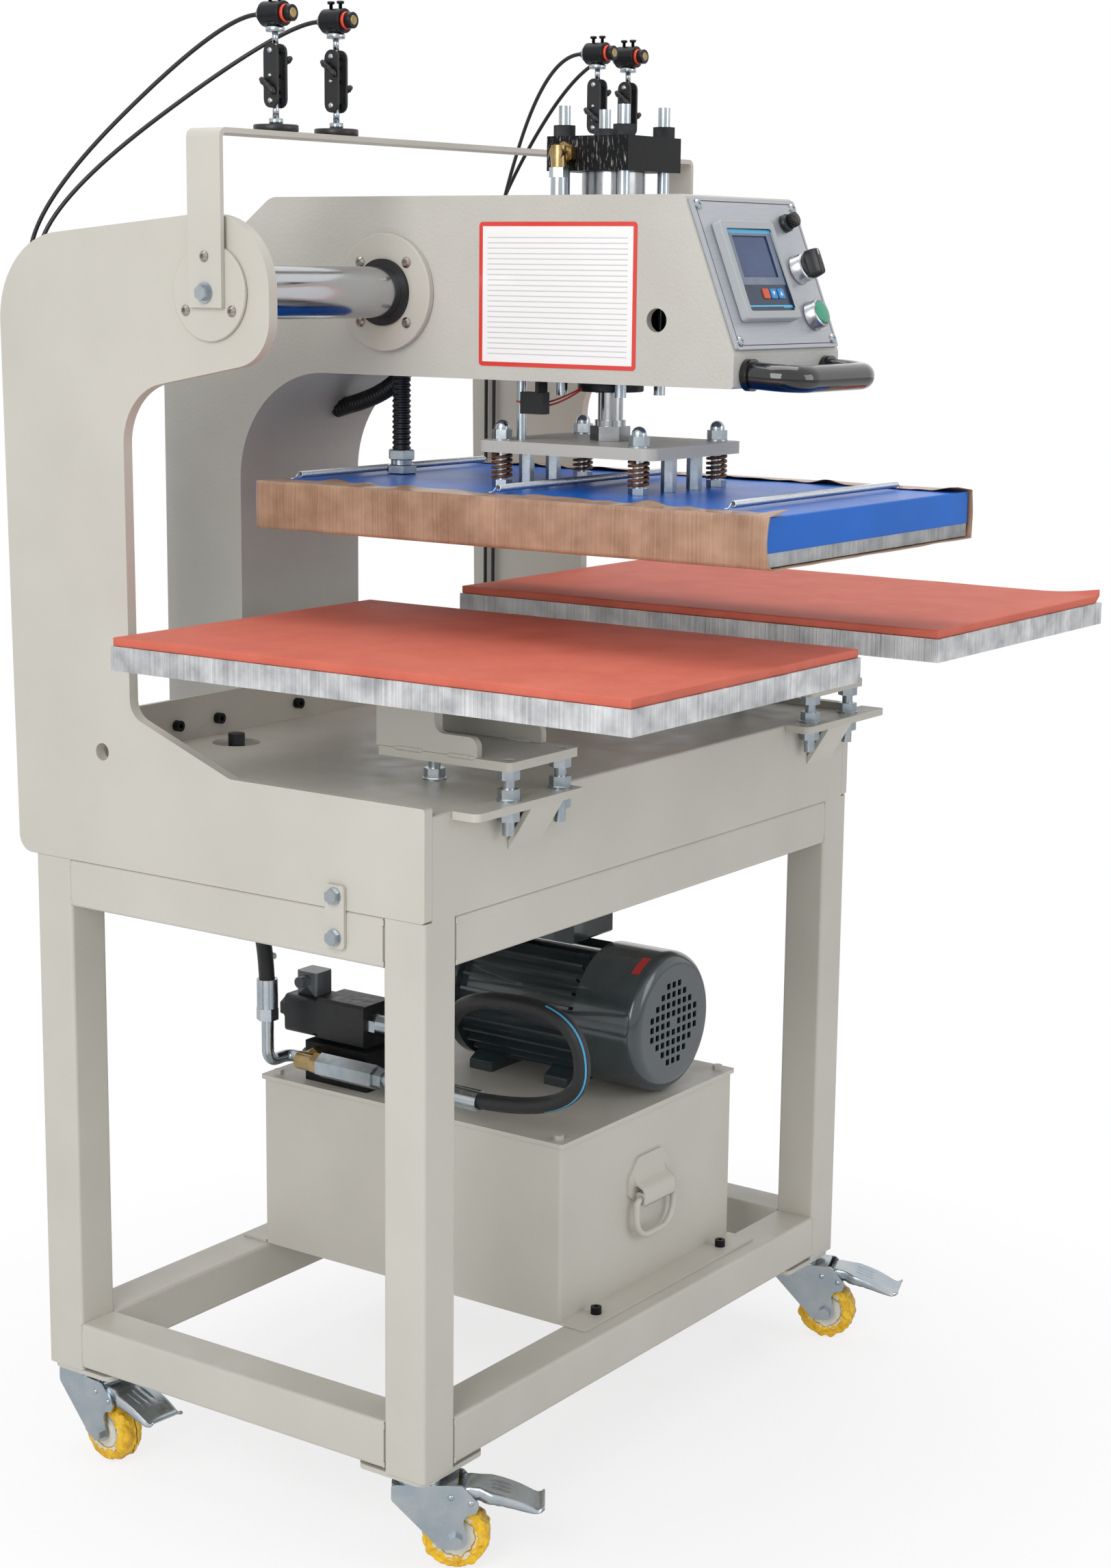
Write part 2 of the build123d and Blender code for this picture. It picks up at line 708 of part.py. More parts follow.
fittings.append(swept(pipe, [10, 14], 7))
low = tank_top + 70.3
fittings.append(hex_between((riser_x, riser_y, low), (riser_x, riser_y, low + 14), 22))
fittings.append(bar_between((riser_x, riser_y, low + 14.3), (riser_x, riser_y, low + 48), 12, hose_radius + 0.1))
save("pipe_fittings", fittings)

# Loop hose from the non-return valve to the valve, and the riser hose into the tray
loop_path = [
    (line_x, pipe_end - 4, line_z), (line_x, loop_front, line_z), (line_x, loop_front, loop_z),
    (line_x, -82, loop_z), (port_x, -18, high_z), (port_x, my - 50, high_z),
]
loop_radii = [hose_bend, hose_bend, 60, 60]
loop_hose = swept(loop_path, loop_radii, hose_radius)
riser_path = [
    (riser_x, riser_y, low + 18), (riser_x, riser_y, low + 110),
    (hose_hole_x, 150, low + 160), (hose_hole_x, 150, tray_top + 10),
]
riser_hose = swept(riser_path, [feed_bend, feed_bend], hose_radius)
save("hydraulic_hoses", loop_hose, riser_hose)
print("loop hose bend radii", loop_radii, "riser bend radius", feed_bend, "hose radius", hose_radius)

# Casters: top plates on the legs, swivel forks, wheels and brake pedals
plates = []
for sx in (-1, 1):
    for sy in (-1, 1):
        cx = sx * (half_w - caster_inset)
        cy = sy * (half_d - caster_inset)
        near_x = sx * (half_w - 2)
        far_x = sx * (half_w - caster_pad_x)
        near_y = sy * (half_d - 2)
        far_y = sy * (half_d - caster_pad_y)
        corners = block(near_x, far_x, near_y, far_y, caster_height - 5.3, caster_height - face_gap)
        pad_plate = fillet(corners.edges().filter_by(Axis.Z), 12)
        cup = bar_between((cx, cy, caster_height - 5.6), (cx, cy, caster_height - 10), swivel_radius)
        plates.append(pad_plate)
        plates.append(cup)
save("caster_plates", plates)
axle_z = wheel_radius
turns = {"front_left": -55.0, "front_right": -70.0, "back_left": -95.0, "back_right": -75.0}
spots = {"front_left": (-1, -1), "front_right": (1, -1), "back_left": (-1, 1), "back_right": (1, 1)}
for corner, (sx, sy) in spots.items():
    cx = sx * (half_w - caster_inset)
    cy = sy * (half_d - caster_inset)
    turn = turns[corner]
    base = Location((cx, cy, 0), (0, 0, turn))
    top = caster_height - 10.3
    half_gap = fork_gap / 2
    cheek = [
        (-26, top - 0.2, 3), (44, top - 0.2, 6), (62, top - 20, 8), (58, top - 30, 4), (44, top - 32, 8),
        (caster_trail + 14, axle_z - 8, 10), (caster_trail - 14, axle_z - 10, 12), (-26, top - 16, 6),
    ]
    plane = Plane(origin=(0, half_gap + fork_thick, 0), x_dir=(1, 0, 0), z_dir=(0, -1, 0))
    cheek_face = outline(cheek, plane)
    cheek_a = extrude(cheek_face, fork_thick)
    cheek_b = Pos(0, -(fork_gap + fork_thick), 0) * cheek_a
    crown = block(-26, 40, -half_gap - fork_thick, half_gap + fork_thick, top - 3, top)
    crown = fillet(crown.edges().filter_by(Axis.Z), 8)
    fork = crown + cheek_a + cheek_b
    fork -= bar_between((caster_trail, -40, axle_z), (caster_trail, 40, axle_z), axle_radius)
    axle = bar_between(
        (caster_trail, -half_gap - fork_thick, axle_z), (caster_trail, half_gap + fork_thick, axle_z),
        axle_radius,
    )
    head = hex_between(
        (caster_trail, -half_gap - fork_thick, axle_z), (caster_trail, -half_gap - fork_thick - 6, axle_z), 13
    )
    tail = hex_between(
        (caster_trail, half_gap + fork_thick, axle_z), (caster_trail, half_gap + fork_thick + 6, axle_z), 13
    )
    save("caster_fork_" + corner, base * (fork + axle + head + tail))
    wheel = Pos(caster_trail, 0, axle_z) * Rot(90, 0, 0) * Cylinder(wheel_radius, wheel_width)
    wheel = fillet(wheel.edges().filter_by(GeomType.CIRCLE), 7)
    for face_y in (-1, 1):
        well = Pos(caster_trail, face_y * (wheel_width / 2 - 2), axle_z) * Rot(90, 0, 0) * Cylinder(22, 6)
        hub = Pos(caster_trail, face_y * (wheel_width / 2 - 2), axle_z) * Rot(90, 0, 0) * Cylinder(11, 6)
        wheel -= well - hub
    wheel -= bar_between((caster_trail, -30, axle_z), (caster_trail, 30, axle_z), axle_radius + running_gap)
    save("caster_wheel_" + corner, base * wheel)
    pivot_x = 48.0
    pivot_z = top - 16
    tip_x = pivot_x + pedal_length
    pedal_side = [
        (pivot_x - 5, pivot_z - 5, 2), (pivot_x - 5, pivot_z + 9, 3), (pivot_x + 26, pivot_z + 7, 10),
        (tip_x - 16, pivot_z - 2, 10), (tip_x, pivot_z - 14, 1), (tip_x - 2, pivot_z - 16, 1),
        (tip_x - 18, pivot_z - 7, 8), (pivot_x + 26, pivot_z + 2, 8), (pivot_x + 6, pivot_z + 2, 2),
        (pivot_x + 6, pivot_z - 5, 2),
    ]
    plane = Plane(origin=(0, half_gap - 0.5, 0), x_dir=(1, 0, 0), z_dir=(0, -1, 0))
    pedal = extrude(outline(pedal_side, plane), fork_gap - 1.0)
    save("caster_brake_" + corner, base * pedal)

# Arm: a hollow welded box with a column behind, open at the column's foot
arm_outline = [
    (arm_front, arm_bottom, 4), (column_front, arm_bottom, arch_radius), (column_front, column_bottom, 0),
    (column_back, column_bottom, 0), (column_back, arm_top - 116, 30), (column_back - 158, arm_top, 24),
    (arm_front_high, arm_top, 4), (arm_front, arm_front_low, 3),
]
wall = arm_wall
arm_inside = [
    (arm_front + wall, arm_bottom + wall, 0), (column_front + wall, arm_bottom + wall, arch_radius + wall),
    (column_front + wall, column_bottom - 1, 0), (column_back - wall, column_bottom - 1, 0),
    (column_back - wall, arm_top - 116 - 3, 24), (column_back - 158 - 3, arm_top - wall, 18),
    (arm_front_high + 5, arm_top - wall, 0), (arm_front + wall, arm_front_low - 1.5, 0),
]
arm = side_view(arm_outline, arm_left, arm_right)
arm -= side_view(arm_inside, arm_left + wall, arm_right - wall)
bore = bush_radius + face_gap
arm -= bar_between((arm_left - 1, 0, shaft_z), (arm_right + 1, 0, shaft_z), bore)
arm -= Pos(head_x, cylinder_y, arm_top) * Cylinder(barrel_radius + face_gap, 40)
arm -= Pos(head_x, cylinder_y, arm_bottom) * Cylinder(barrel_radius + face_gap, 40)
for sx in (-1, 1):
    for sy in (-1, 1):
        tie_at = (head_x + sx * tie_offset, cylinder_y + sy * tie_offset)
        arm -= bar_between((*tie_at, arm_bottom - 5), (*tie_at, arm_top + 5), tie_radius + face_gap)
guide_at = (head_x + guide_rod_x, cylinder_y + guide_rod_y)
arm -= bar_between((*guide_at, arm_bottom - 5), (*guide_at, arm_bottom + 20), guide_rod_radius + face_gap)
conduit_at = (head_x + gland_x, cylinder_y + gland_y)
arm -= bar_between((*conduit_at, arm_bottom - 5), (*conduit_at, arm_bottom + 20), conduit_radius + 2.5)
elbow_at = (head_x - block_side / 2 - 16, cylinder_y + 22)
arm -= bar_between((*elbow_at, arm_top - 20), (*elbow_at, arm_top + 5), 11)
port_y = arm_front + 88.0
port_z = shaft_z - 22.0
arm -= bar_between((arm_left - 1, port_y, port_z), (arm_left + wall + 1, port_y, port_z), 11.5)
save("press_arm", arm)

# Shaft flanges with their screws, and the bushes that run on the shaft
flanges = []
bushes = []
for side in (-1, 1):
    face = arm_left if side < 0 else arm_right
    outer = face + side * flange_thick
    ring = bar_between((face, 0, shaft_z), (outer, 0, shaft_z), flange_radius)
    ring = fillet(ring.edges().filter_by(GeomType.CIRCLE), 1.5)
    ring -= bar_between((face - side, 0, shaft_z), (outer + side, 0, shaft_z), bush_radius)
    flanges.append(ring)
    for angle in (45, 135, 225, 315):
        cy = flange_screw_circle * math.cos(math.radians(angle))
        cz = shaft_z + flange_screw_circle * math.sin(math.radians(angle))
        flanges.append(dome_screw((outer, cy, cz), (side, 0, 0), 5.5, 3.4, 4))
    inner = face - side * 46
    tip = outer + side * bush_lip
    bush = bar_between((inner, 0, shaft_z), (tip, 0, shaft_z), bush_radius, shaft_radius + running_gap)
    bushes.append(bush)
save("shaft_flanges", flanges, bushes)

# Control panel on the slanted front
slope = Vector(0, arm_front_high - arm_front, arm_top - arm_front_low)
panel_height = slope.length
out = Vector(0, -slope.Z, slope.Y).normalized()
panel = Plane(origin=Vector(arm_left, arm_front, arm_front_low) + out * face_gap, x_dir=(1, 0, 0), z_dir=out)
panel_middle = (arm_width / 2, panel_height / 2)
sheet_size = (arm_width - 2 * panel_inset, panel_height - 2 * panel_inset)
panel_body = extrude(panel * Pos(*panel_middle) * RectangleRounded(*sheet_size, 3), panel_thick)
panel_screws = []
for sx in (-1, 1):
    for sy in (-1, 1):
        spot = panel * Pos(panel_middle[0] + sx * (arm_width / 2 - 12), panel_middle[1] + sy * (panel_height / 2 - 12))
        plane = Plane(spot.position + out * panel_thick, x_dir=(1, 0, 0), z_dir=out)
        head = extrude(plane * Circle(5.2), 2.6)
        head = chamfer(head.faces().sort_by(Axis.Y)[0].edges(), 1.4)
        slot = extrude(plane.offset(3) * (Rectangle(5, 1.1) + Rectangle(1.1, 5)), -1.6)
        panel_screws.append(head - slot)
front = panel.offset(panel_thick)
knob_at = (switch_column, panel_height * 0.52)
button_at = (switch_column, panel_height * 0.22)
fuse_at = (switch_column + 2, panel_height * 0.82)
bezels = []
panel_body -= extrude(panel * Pos(*button_at) * Circle(11.2), 20)
panel_body -= extrude(panel * Pos(*knob_at) * Circle(8.2), 20)
ring = extrude(front * Pos(*button_at) * Circle(button_radius), 4.5)
ring = chamfer(ring.faces().sort_by(Axis.Y)[0].edges(), 1.2)
bezels.append(ring - extrude(front * Pos(*button_at) * Circle(11.2), 20))
ring = extrude(front * Pos(*knob_at) * Circle(button_radius), 3.5)
ring = chamfer(ring.faces().sort_by(Axis.Y)[0].edges(), 1.2)
bezels.append(ring - extrude(front * Pos(*knob_at) * Circle(8.2), 20))
fuse = extrude(front * Pos(*fuse_at) * Circle(fuse_radius), 3)
fuse += extrude(front.offset(3) * Pos(*fuse_at) * Circle(fuse_radius - 2.4), 12)
fuse -= extrude(front.offset(14) * Pos(*fuse_at) * Rectangle(9, 1.4), 4)
bezels.append(fuse)
save("control_panel", panel_body, panel_screws)
save("switch_bezels", bezels)

# Controller: bezel with a stepped window and three keys
box_at = (controller_left + controller_size / 2, panel_height * 0.5)
front = panel.offset(panel_thick + 0.05)
body = extrude(front * Pos(*box_at) * RectangleRounded(controller_size, controller_size, 4), controller_depth)
body = chamfer(body.faces().sort_by(Axis.Y)[0].edges(), 1.0)
top_face = front.offset(controller_depth)
body -= extrude(top_face * Pos(box_at[0], box_at[1]) * RectangleRounded(84, 84, 3), -2.5)
low_face = front.offset(controller_depth - 2.5)
body -= extrude(low_face * Pos(box_at[0], box_at[1] + 14) * RectangleRounded(64, 42, 1), -1.2)
keys = []
for index in range(3):
    key = Pos(box_at[0] - 2 + 14 * index, box_at[1] - 24) * RectangleRounded(11, 10, 1.5)
    keys.append(extrude(low_face * key, 1.2))
for key in keys:
    body += key
save("controller", body)

# Selector knob and start button
front = panel.offset(panel_thick)
knob = extrude(front * Pos(*knob_at) * Circle(8.2 - running_gap), 5)
knob += extrude(front.offset(4.0) * Pos(*knob_at) * Circle(knob_radius), 5)
grip = extrude(front.offset(4.0) * Pos(*knob_at) * Rot(0, 0, 25) * SlotOverall(2 * knob_radius + 6, 8), 17)
knob += fillet(grip.faces().sort_by(Axis.Y)[0].edges(), 1.5)
save("selector_knob", knob)
cap = extrude(front * Pos(*button_at) * Circle(11.2 - running_gap), 9.0)
cap = fillet(cap.faces().sort_by(Axis.Y)[0].edges(), 1.5)
save("start_button", cap)

# Pull handle: a thick tube bent at both ends
handle_path = [
    (head_x - handle_span / 2, arm_front - 3, handle_z),
    (head_x - handle_span / 2, arm_front - handle_reach, handle_z - 3),
    (head_x + handle_span / 2, arm_front - handle_reach, handle_z - 3),
    (head_x + handle_span / 2, arm_front - 3, handle_z),
]
handle = swept(handle_path, [26, 26], handle_radius - 2)
feet = []
for sx in (-1, 1):
    spot = (head_x + sx * handle_span / 2, arm_front - face_gap, handle_z)
    foot = (spot[0], spot[1] - 7, spot[2])
    handle += bar_between(spot, foot, handle_radius + 0.5)
save("pull_handle", handle)

# Press cylinder: head block, barrel, gland, tie rods with nuts and the feed elbow
cx = head_x
cy = cylinder_y
half = block_side / 2
block_top = block_bottom + block_height
head_block = block(cx - half, cx + half, cy - half, cy + half, block_bottom, block_top)
head_block = chamfer(head_block.edges().filter_by(Axis.Z), 1.0)
for sx in (-1, 1):
    for sy in (-1, 1):
        head_block -= Pos(cx + sx * tie_offset, cy + sy * tie_offset, block_bottom) * Cylinder(tie_radius + 0.3, 100)
gland = bar_between((cx, cy, arm_bottom - gland_drop), (cx, cy, arm_bottom - face_gap), gland_radius)
gland = chamfer(gland.edges().filter_by(GeomType.CIRCLE), 1.0)
gland -= bar_between((cx, cy, arm_bottom - 40), (cx, cy, arm_bottom + 5), rod_radius + running_gap)
switch = block(cx - 78, cx - 66, cy + 30, cy + 58, arm_bottom - 34, arm_bottom - 12)
switch += block(cx - 80, cx - 64, cy + 34, cy + 38, arm_bottom - 12.5, arm_bottom - face_gap)
save("cylinder_caps", head_block, gland, switch)
barrel = bar_between((cx, cy, arm_bottom), (cx, cy, block_bottom - face_gap), barrel_radius, barrel_radius - barrel_wall)
save("cylinder_barrel", barrel)
ties = []
for sx in (-1, 1):
    for sy in (-1, 1):
        tx = cx + sx * tie_offset
        ty = cy + sy * tie_offset
        tie = bar_between((tx, ty, arm_bottom - 16), (tx, ty, block_top + 30), tie_radius)
        tie += hex_between((tx, ty, block_top + 0.3), (tx, ty, block_top + 11), 19)
        ties.append(tie)
ex = elbow_at[0]
ey = elbow_at[1]
ez = block_bottom + block_height / 2
brass = hex_between((cx - half - 0.3, ey, ez), (cx - half - 9, ey, ez), 20)
brass += bar_between((cx - half - 9, ey, ez), (ex - 6, ey, ez), 8)
brass += bar_between((ex, ey, ez + 7), (ex, ey, ez - 14), 8)
ties.append(brass)
crimp = hex_between((ex, ey, ez - 14.3), (ex, ey, ez - 24), 17)
crimp += bar_between((ex, ey, ez - 24), (ex, ey, arm_top - 30), 8)
ties.append(crimp)
save("tie_rods_and_feed", ties)

# Piston rod with piston and foot nut
rod_top = block_bottom - face_gap - 12
rod = bar_between((cx, cy, plate_top + face_gap), (cx, cy, rod_top), rod_radius)
rod += bar_between((cx, cy, rod_top - 22), (cx, cy, rod_top), barrel_radius - barrel_wall - running_gap)
rod += hex_between((cx, cy, plate_top + face_gap), (cx, cy, plate_top + 15), 36)
rod += bar_between((cx, cy, plate_top + 15), (cx, cy, plate_top + 21), 16)
save("piston_rod", rod)

# Pressure plate
plate_bottom = plate_top - plate_height
pressure = block(
    cx - plate_width / 2, cx + plate_width / 2, cy - plate_length / 2, cy + plate_length / 2,
    plate_bottom, plate_top,
)
pressure = fillet(pressure.edges().filter_by(Axis.Z), plate_corner)
for sx in (-1, 1):
    for sy in (-1, 1):
        pressure -= Pos(cx + sx * spring_x, cy + sy * spring_y, plate_top) * Cylinder(6.3, 60)
save("pressure_plate", pressure)

# Platen studs: threaded studs, acorn nuts, base nuts, hexagon spacers and the guide rod
studs = []
for sx in (-1, 1):
    for sy in (-1, 1):
        x = cx + sx * spring_x
        y = cy + sy * spring_y
        stud = bar_between((x, y, heater_top + face_gap), (x, y, plate_top + 12), 6.0)
        stud += hex_between((x, y, heater_top + face_gap), (x, y, heater_top + 7), 18)
        stud += hex_between((x, y, plate_top + 1.8), (x, y, plate_top + 11), 18)
        dome = Pos(x, y, plate_top + 13) * Sphere(7.6)
        stud += bar_between((x, y, plate_top + 11), (x, y, plate_top + 13), 7.6)
        stud += dome
        studs.append(stud)
        studs.append(washer(x, y, plate_top, (0, 0, 1), 11, 1.6, 6.2))
        sx_at = cx + sx * rivet_x
        sy_at = cy + sy * rivet_y
        studs.append(hex_between((sx_at, sy_at, heater_top + face_gap), (sx_at, sy_at, plate_bottom - 0.3), 14))
guide = bar_between((*guide_at, plate_top), (*guide_at, plate_top + 185), guide_rod_radius)
studs.append(guide)
save("platen_studs", studs)

# Die springs: flat wire wound round each stud
spring_low = heater_top + 7.6
spring_high = plate_bottom - 0.6
spring_pitch = (spring_high - spring_low - spring_wire_high) / spring_turns
middle_radius = spring_radius - spring_wire / 2
springs = []
for sx in (-1, 1):
    for sy in (-1, 1):
        start = spring_low + spring_wire_high / 2
        path = Helix(spring_pitch, spring_pitch * spring_turns, middle_radius)
        section = Plane(path @ 0, x_dir=(1, 0, 0), z_dir=path % 0) * Rectangle(spring_wire, spring_wire_high)
        coil = sweep(section, path=path, is_frenet=True)
        springs.append(Pos(cx + sx * spring_x, cy + sy * spring_y, start) * coil)
save("die_springs", springs)
print("die spring least gap", round(spring_pitch - spring_wire_high, 2), "turns", spring_turns * 4)

# Heater: pressed cover over a thick plate
hx = head_x
hy = heater_y
hw = heater_width / 2
hl = heater_length / 2
cover_low = heater_top - cover_height
cover = block(hx - hw, hx + hw, hy - hl, hy + hl, cover_low + face_gap, heater_top)
cover = fillet(cover.edges().filter_by(Axis.Z), 3)
cover = fillet(cover.faces().sort_by(Axis.Z)[-1].edges(), 1.5)
cover -= block(
    hx - hw + cover_wall, hx + hw - cover_wall, hy - hl + cover_wall, hy + hl - cover_wall,
    cover_low - 1, heater_top - cover_wall,
)
save("heater_cover", cover)
platen = block(hx - hw + 1, hx + hw - 1, hy - hl + 1, hy + hl - 1, heater_bottom, cover_low)
platen = chamfer(platen.edges().filter_by(Axis.Z), 0.8)
save("heater_plate", platen)

# Release sheet: wraps the underside and both long sides and folds over the top
in_w = hw + face_gap
out_w = in_w + sheet_thick
in_top = heater_top + face_gap
in_low = heater_bottom - face_gap
wrap = [
    (hx - in_w + sheet_fold, in_top, 0), (hx - in_w + sheet_fold, in_top + sheet_thick, 0),
    (hx - out_w, in_top + sheet_thick, 2.5), (hx - out_w, sheet_bottom, 2.5), (hx + out_w, sheet_bottom, 2.5),
    (hx + out_w, in_top + sheet_thick, 2.5), (hx + in_w - sheet_fold, in_top + sheet_thick, 0),
    (hx + in_w - sheet_fold, in_top, 0), (hx + in_w, in_top, 1.3), (hx + in_w, in_low, 1.3),
    (hx - in_w, in_low, 1.3), (hx - in_w, in_top, 1.3),
]
release = front_view(wrap, hy - hl - 2, hy + hl - 4)
save("release_sheet", release)

# Three extension springs hold the sheet's folded edges
spring_rest = in_top + sheet_thick + 4.6
ties = []
for spring_at in (hy - hl + 62, hy + 26, hy + hl - 26):
    left = hx - in_w + sheet_fold - 4
    right = hx + in_w - sheet_fold + 4
    ties.append(bar_between((left + 12.6, spring_at, spring_rest), (right - 12.6, spring_at, spring_rest), 3.8))
    for side, end in ((-1, left), (1, right)):
        hook = swept(
            [
                (end - side * 12.2, spring_at, spring_rest), (end - side * 4, spring_at, spring_rest),
                (end + side * 2, spring_at, spring_rest - 3.2), (end + side * 7, spring_at, spring_rest - 3.2),
            ],
            [3, 3], 0.9,
        )
        ties.append(hook)
save("extension_springs", ties)

# Heater conduit: gland on the cover and a ribbed conduit that rises into the arm
gx = conduit_at[0]
gy = conduit_at[1]
conduit = hex_between((gx, gy, heater_top + face_gap), (gx, gy, heater_top + 10), 30)
conduit += bar_between((gx, gy, heater_top + 10), (gx, gy, heater_top + 15), 11.5)
conduit += hex_between((gx, gy, heater_top + 15), (gx, gy, heater_top + 26), 25)
conduit += bar_between((gx, gy, heater_top + 26), (gx, gy, heater_top + 232), conduit_radius)
save("heater_conduit", conduit)

# Laser pointers: magnet foot, two-link arm with a clamp knob, and the pointer head
pointers = []
heads = []
cables = []
for group, lean in ((laser_left, 1), (laser_right, 1)):
    for lx in group:
        z0 = bar_top
        pointers.append(bar_between((lx, laser_y, z0 + 0.2), (lx, laser_y, z0 + magnet_height), magnet_radius))
        arm_low = z0 + magnet_height + 12
        stem = bar_between((lx, laser_y, z0 + magnet_height), (lx, laser_y, arm_low), 3.6)
        stem += Pos(lx, laser_y, arm_low + 3) * Sphere(6)
        pointers.append(stem)
        arm_mid = arm_low + 34
        arm_high = laser_head_z - 30
        low_link = [
            (lx - 8, arm_low + 9.2, 3), (lx + 8, arm_low + 9.2, 3), (lx + 9, arm_mid, 4),
            (lx + 4, arm_mid + 8, 4), (lx - 4, arm_mid + 8, 4), (lx - 9, arm_mid, 4),
        ]
        pointers.append(front_view(low_link, laser_y - 7, laser_y + 7))
        high_link = [
            (lx - 4, arm_mid + 8.3, 2), (lx + 4, arm_mid + 8.3, 2), (lx + 8, arm_mid + 16, 4),
            (lx + 7, arm_high, 3), (lx - 7, arm_high, 3), (lx - 8, arm_mid + 16, 4),
        ]
        pointers.append(front_view(high_link, laser_y - 6, laser_y + 6))
        knob_z = arm_mid + 2
        pointers.append(bar_between((lx, laser_y - 7.3, knob_z), (lx, laser_y - 20, knob_z), 7))
        pin = bar_between((lx, laser_y, arm_high + 0.3), (lx, laser_y, laser_head_z - 12.3), 3.2)
        pin += Pos(lx, laser_y, arm_high + 5.2) * Sphere(4.6)
        pointers.append(pin)
        tail_y = laser_y + laser_head_length / 2
        nose_y = laser_y - laser_head_length / 2
        pointer = bar_between((lx, laser_y - 12, laser_head_z), (lx, laser_y + 14, laser_head_z), 12)
        pointer += bar_between((lx, nose_y, laser_head_z), (lx, tail_y, laser_head_z), laser_head_radius - 1)
        for off in (-6, 6):
            stem_top = (lx, laser_y + off, laser_head_z + 19)
            pointer += bar_between((lx, laser_y + off, laser_head_z + 8), stem_top, 2)
            pointer += bar_between((lx, laser_y + off, laser_head_z + 15), stem_top, 4)
        pointers.append(pointer)
        side = -1 if lx < 0 else 1
        down_x = side * (half_w - plate_thick - 6)
        down_y = 262.0 if lx in (laser_left[0], laser_right[1]) else 250.0
        path = [
            (lx, tail_y + 0.3, laser_head_z), (lx, tail_y + 46, laser_head_z),
            (down_x, down_y, 1330), (down_x, down_y, stand_top + 1),
        ]
        cables.append(swept(path, [60, 90], cable_radius))
save("laser_pointers", pointers)
save("laser_cables", cables)
print("laser cable bend radii 60 and 90, cable radius", cable_radius)
print("side travel", side_travel, "rest", head_x, "stroke", round(stroke, 2))
print("frame shift", frame_x, frame_y)
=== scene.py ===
import bpy
import bmesh
import math
from mathutils import Matrix, Vector
from mathutils.noise import noise as noise_at, voronoi as voronoi_at


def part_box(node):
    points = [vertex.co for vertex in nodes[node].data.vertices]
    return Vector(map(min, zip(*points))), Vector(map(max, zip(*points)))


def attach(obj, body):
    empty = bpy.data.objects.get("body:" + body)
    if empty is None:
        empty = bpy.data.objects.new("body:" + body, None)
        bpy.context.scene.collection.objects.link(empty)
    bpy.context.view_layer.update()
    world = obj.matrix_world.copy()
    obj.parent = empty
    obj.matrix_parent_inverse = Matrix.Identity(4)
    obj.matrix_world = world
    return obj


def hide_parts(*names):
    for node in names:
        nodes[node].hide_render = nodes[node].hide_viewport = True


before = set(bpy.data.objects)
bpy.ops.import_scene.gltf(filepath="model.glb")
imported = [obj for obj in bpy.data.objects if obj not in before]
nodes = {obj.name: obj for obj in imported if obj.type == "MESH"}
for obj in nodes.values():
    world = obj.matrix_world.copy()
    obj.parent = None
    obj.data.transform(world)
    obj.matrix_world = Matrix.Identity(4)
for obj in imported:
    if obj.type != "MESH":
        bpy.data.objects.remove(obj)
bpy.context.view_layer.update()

# Powder-coated sheet and tube: every cream piece of the machine, from the stand to the arm.
# The coat is a warm pale grey with a fine orange peel, a soft sheen and a few lighter nibs.


def linear(code):
    parts = [int(code[i:i + 2], 16) / 255 for i in (1, 3, 5)]
    return tuple(p / 12.92 if p <= 0.04045 else ((p + 0.055) / 1.055) ** 2.4 for p in parts) + (1.0,)


def add(tree, kind, inputs=None, **settings):
    made = tree.nodes.new(kind)
    for key, value in settings.items():
        setattr(made, key, value)
    for key, value in (inputs or {}).items():
        if isinstance(value, bpy.types.NodeSocket):
            tree.links.new(value, made.inputs[key])
        else:
            made.inputs[key].default_value = value
    return made


def new_finish(name, colour, rough, metal=0.0, coat=0.0):
    made = bpy.data.materials.new(name)
    made.use_nodes = True
    tree = made.node_tree
    shader = tree.nodes["Principled BSDF"]
    shader.inputs["Base Color"].default_value = linear(colour)
    shader.inputs["Roughness"].default_value = rough
    shader.inputs["Metallic"].default_value = metal
    shader.inputs["Coat Weight"].default_value = coat
    place = add(tree, "ShaderNodeTexCoord").outputs["Object"]
    return made, tree, shader, place


def relief(tree, shader, height, strength, distance):
    bump = add(tree, "ShaderNodeBump", {"Height": height, "Strength": strength, "Distance": distance})
    tree.links.new(bump.outputs[0], shader.inputs["Normal"])


def blend(tree, amount, first, second):
    return add(tree, "ShaderNodeMix", {0: amount, 6: first, 7: second}, data_type="RGBA").outputs[2]


def paint(tree, shader, amount, first, second):
    tree.links.new(blend(tree, amount, linear(first), linear(second)), shader.inputs["Base Color"])


def grain(tree, shader, place, size_mm, height_mm, strength=1.0, stretch=(1, 1, 1), detail=2.0):
    where = add(tree, "ShaderNodeMapping", {"Vector": place, "Scale": stretch}).outputs[0]
    noise = add(tree, "ShaderNodeTexNoise", {"Vector": where, "Scale": 1000.0 / size_mm, "Detail": detail})
    relief(tree, shader, noise.outputs[0], strength, height_mm / 1000)


def two_tones(tree, shader, place, size_mm, first, second, low=0.35, high=0.65, stretch=(1, 1, 1)):
    where = add(tree, "ShaderNodeMapping", {"Vector": place, "Scale": stretch}).outputs[0]
    noise = add(tree, "ShaderNodeTexNoise", {"Vector": where, "Scale": 1000.0 / size_mm, "Detail": 4.0})
    spread = add(tree, "ShaderNodeMapRange", {"Value": noise.outputs[0], "From Min": low, "From Max": high})
    paint(tree, shader, spread.outputs[0], first, second)


def vary_rough(tree, shader, place, size_mm, low, high):
    noise = add(tree, "ShaderNodeTexNoise", {"Vector": place, "Scale": 1000.0 / size_mm, "Detail": 3.0})
    spread = add(tree, "ShaderNodeMapRange", {"Value": noise.outputs[0], "From Min": 0.3, "From Max": 0.7,
                                              "To Min": low, "To Max": high})
    tree.links.new(spread.outputs[0], shader.inputs["Roughness"])


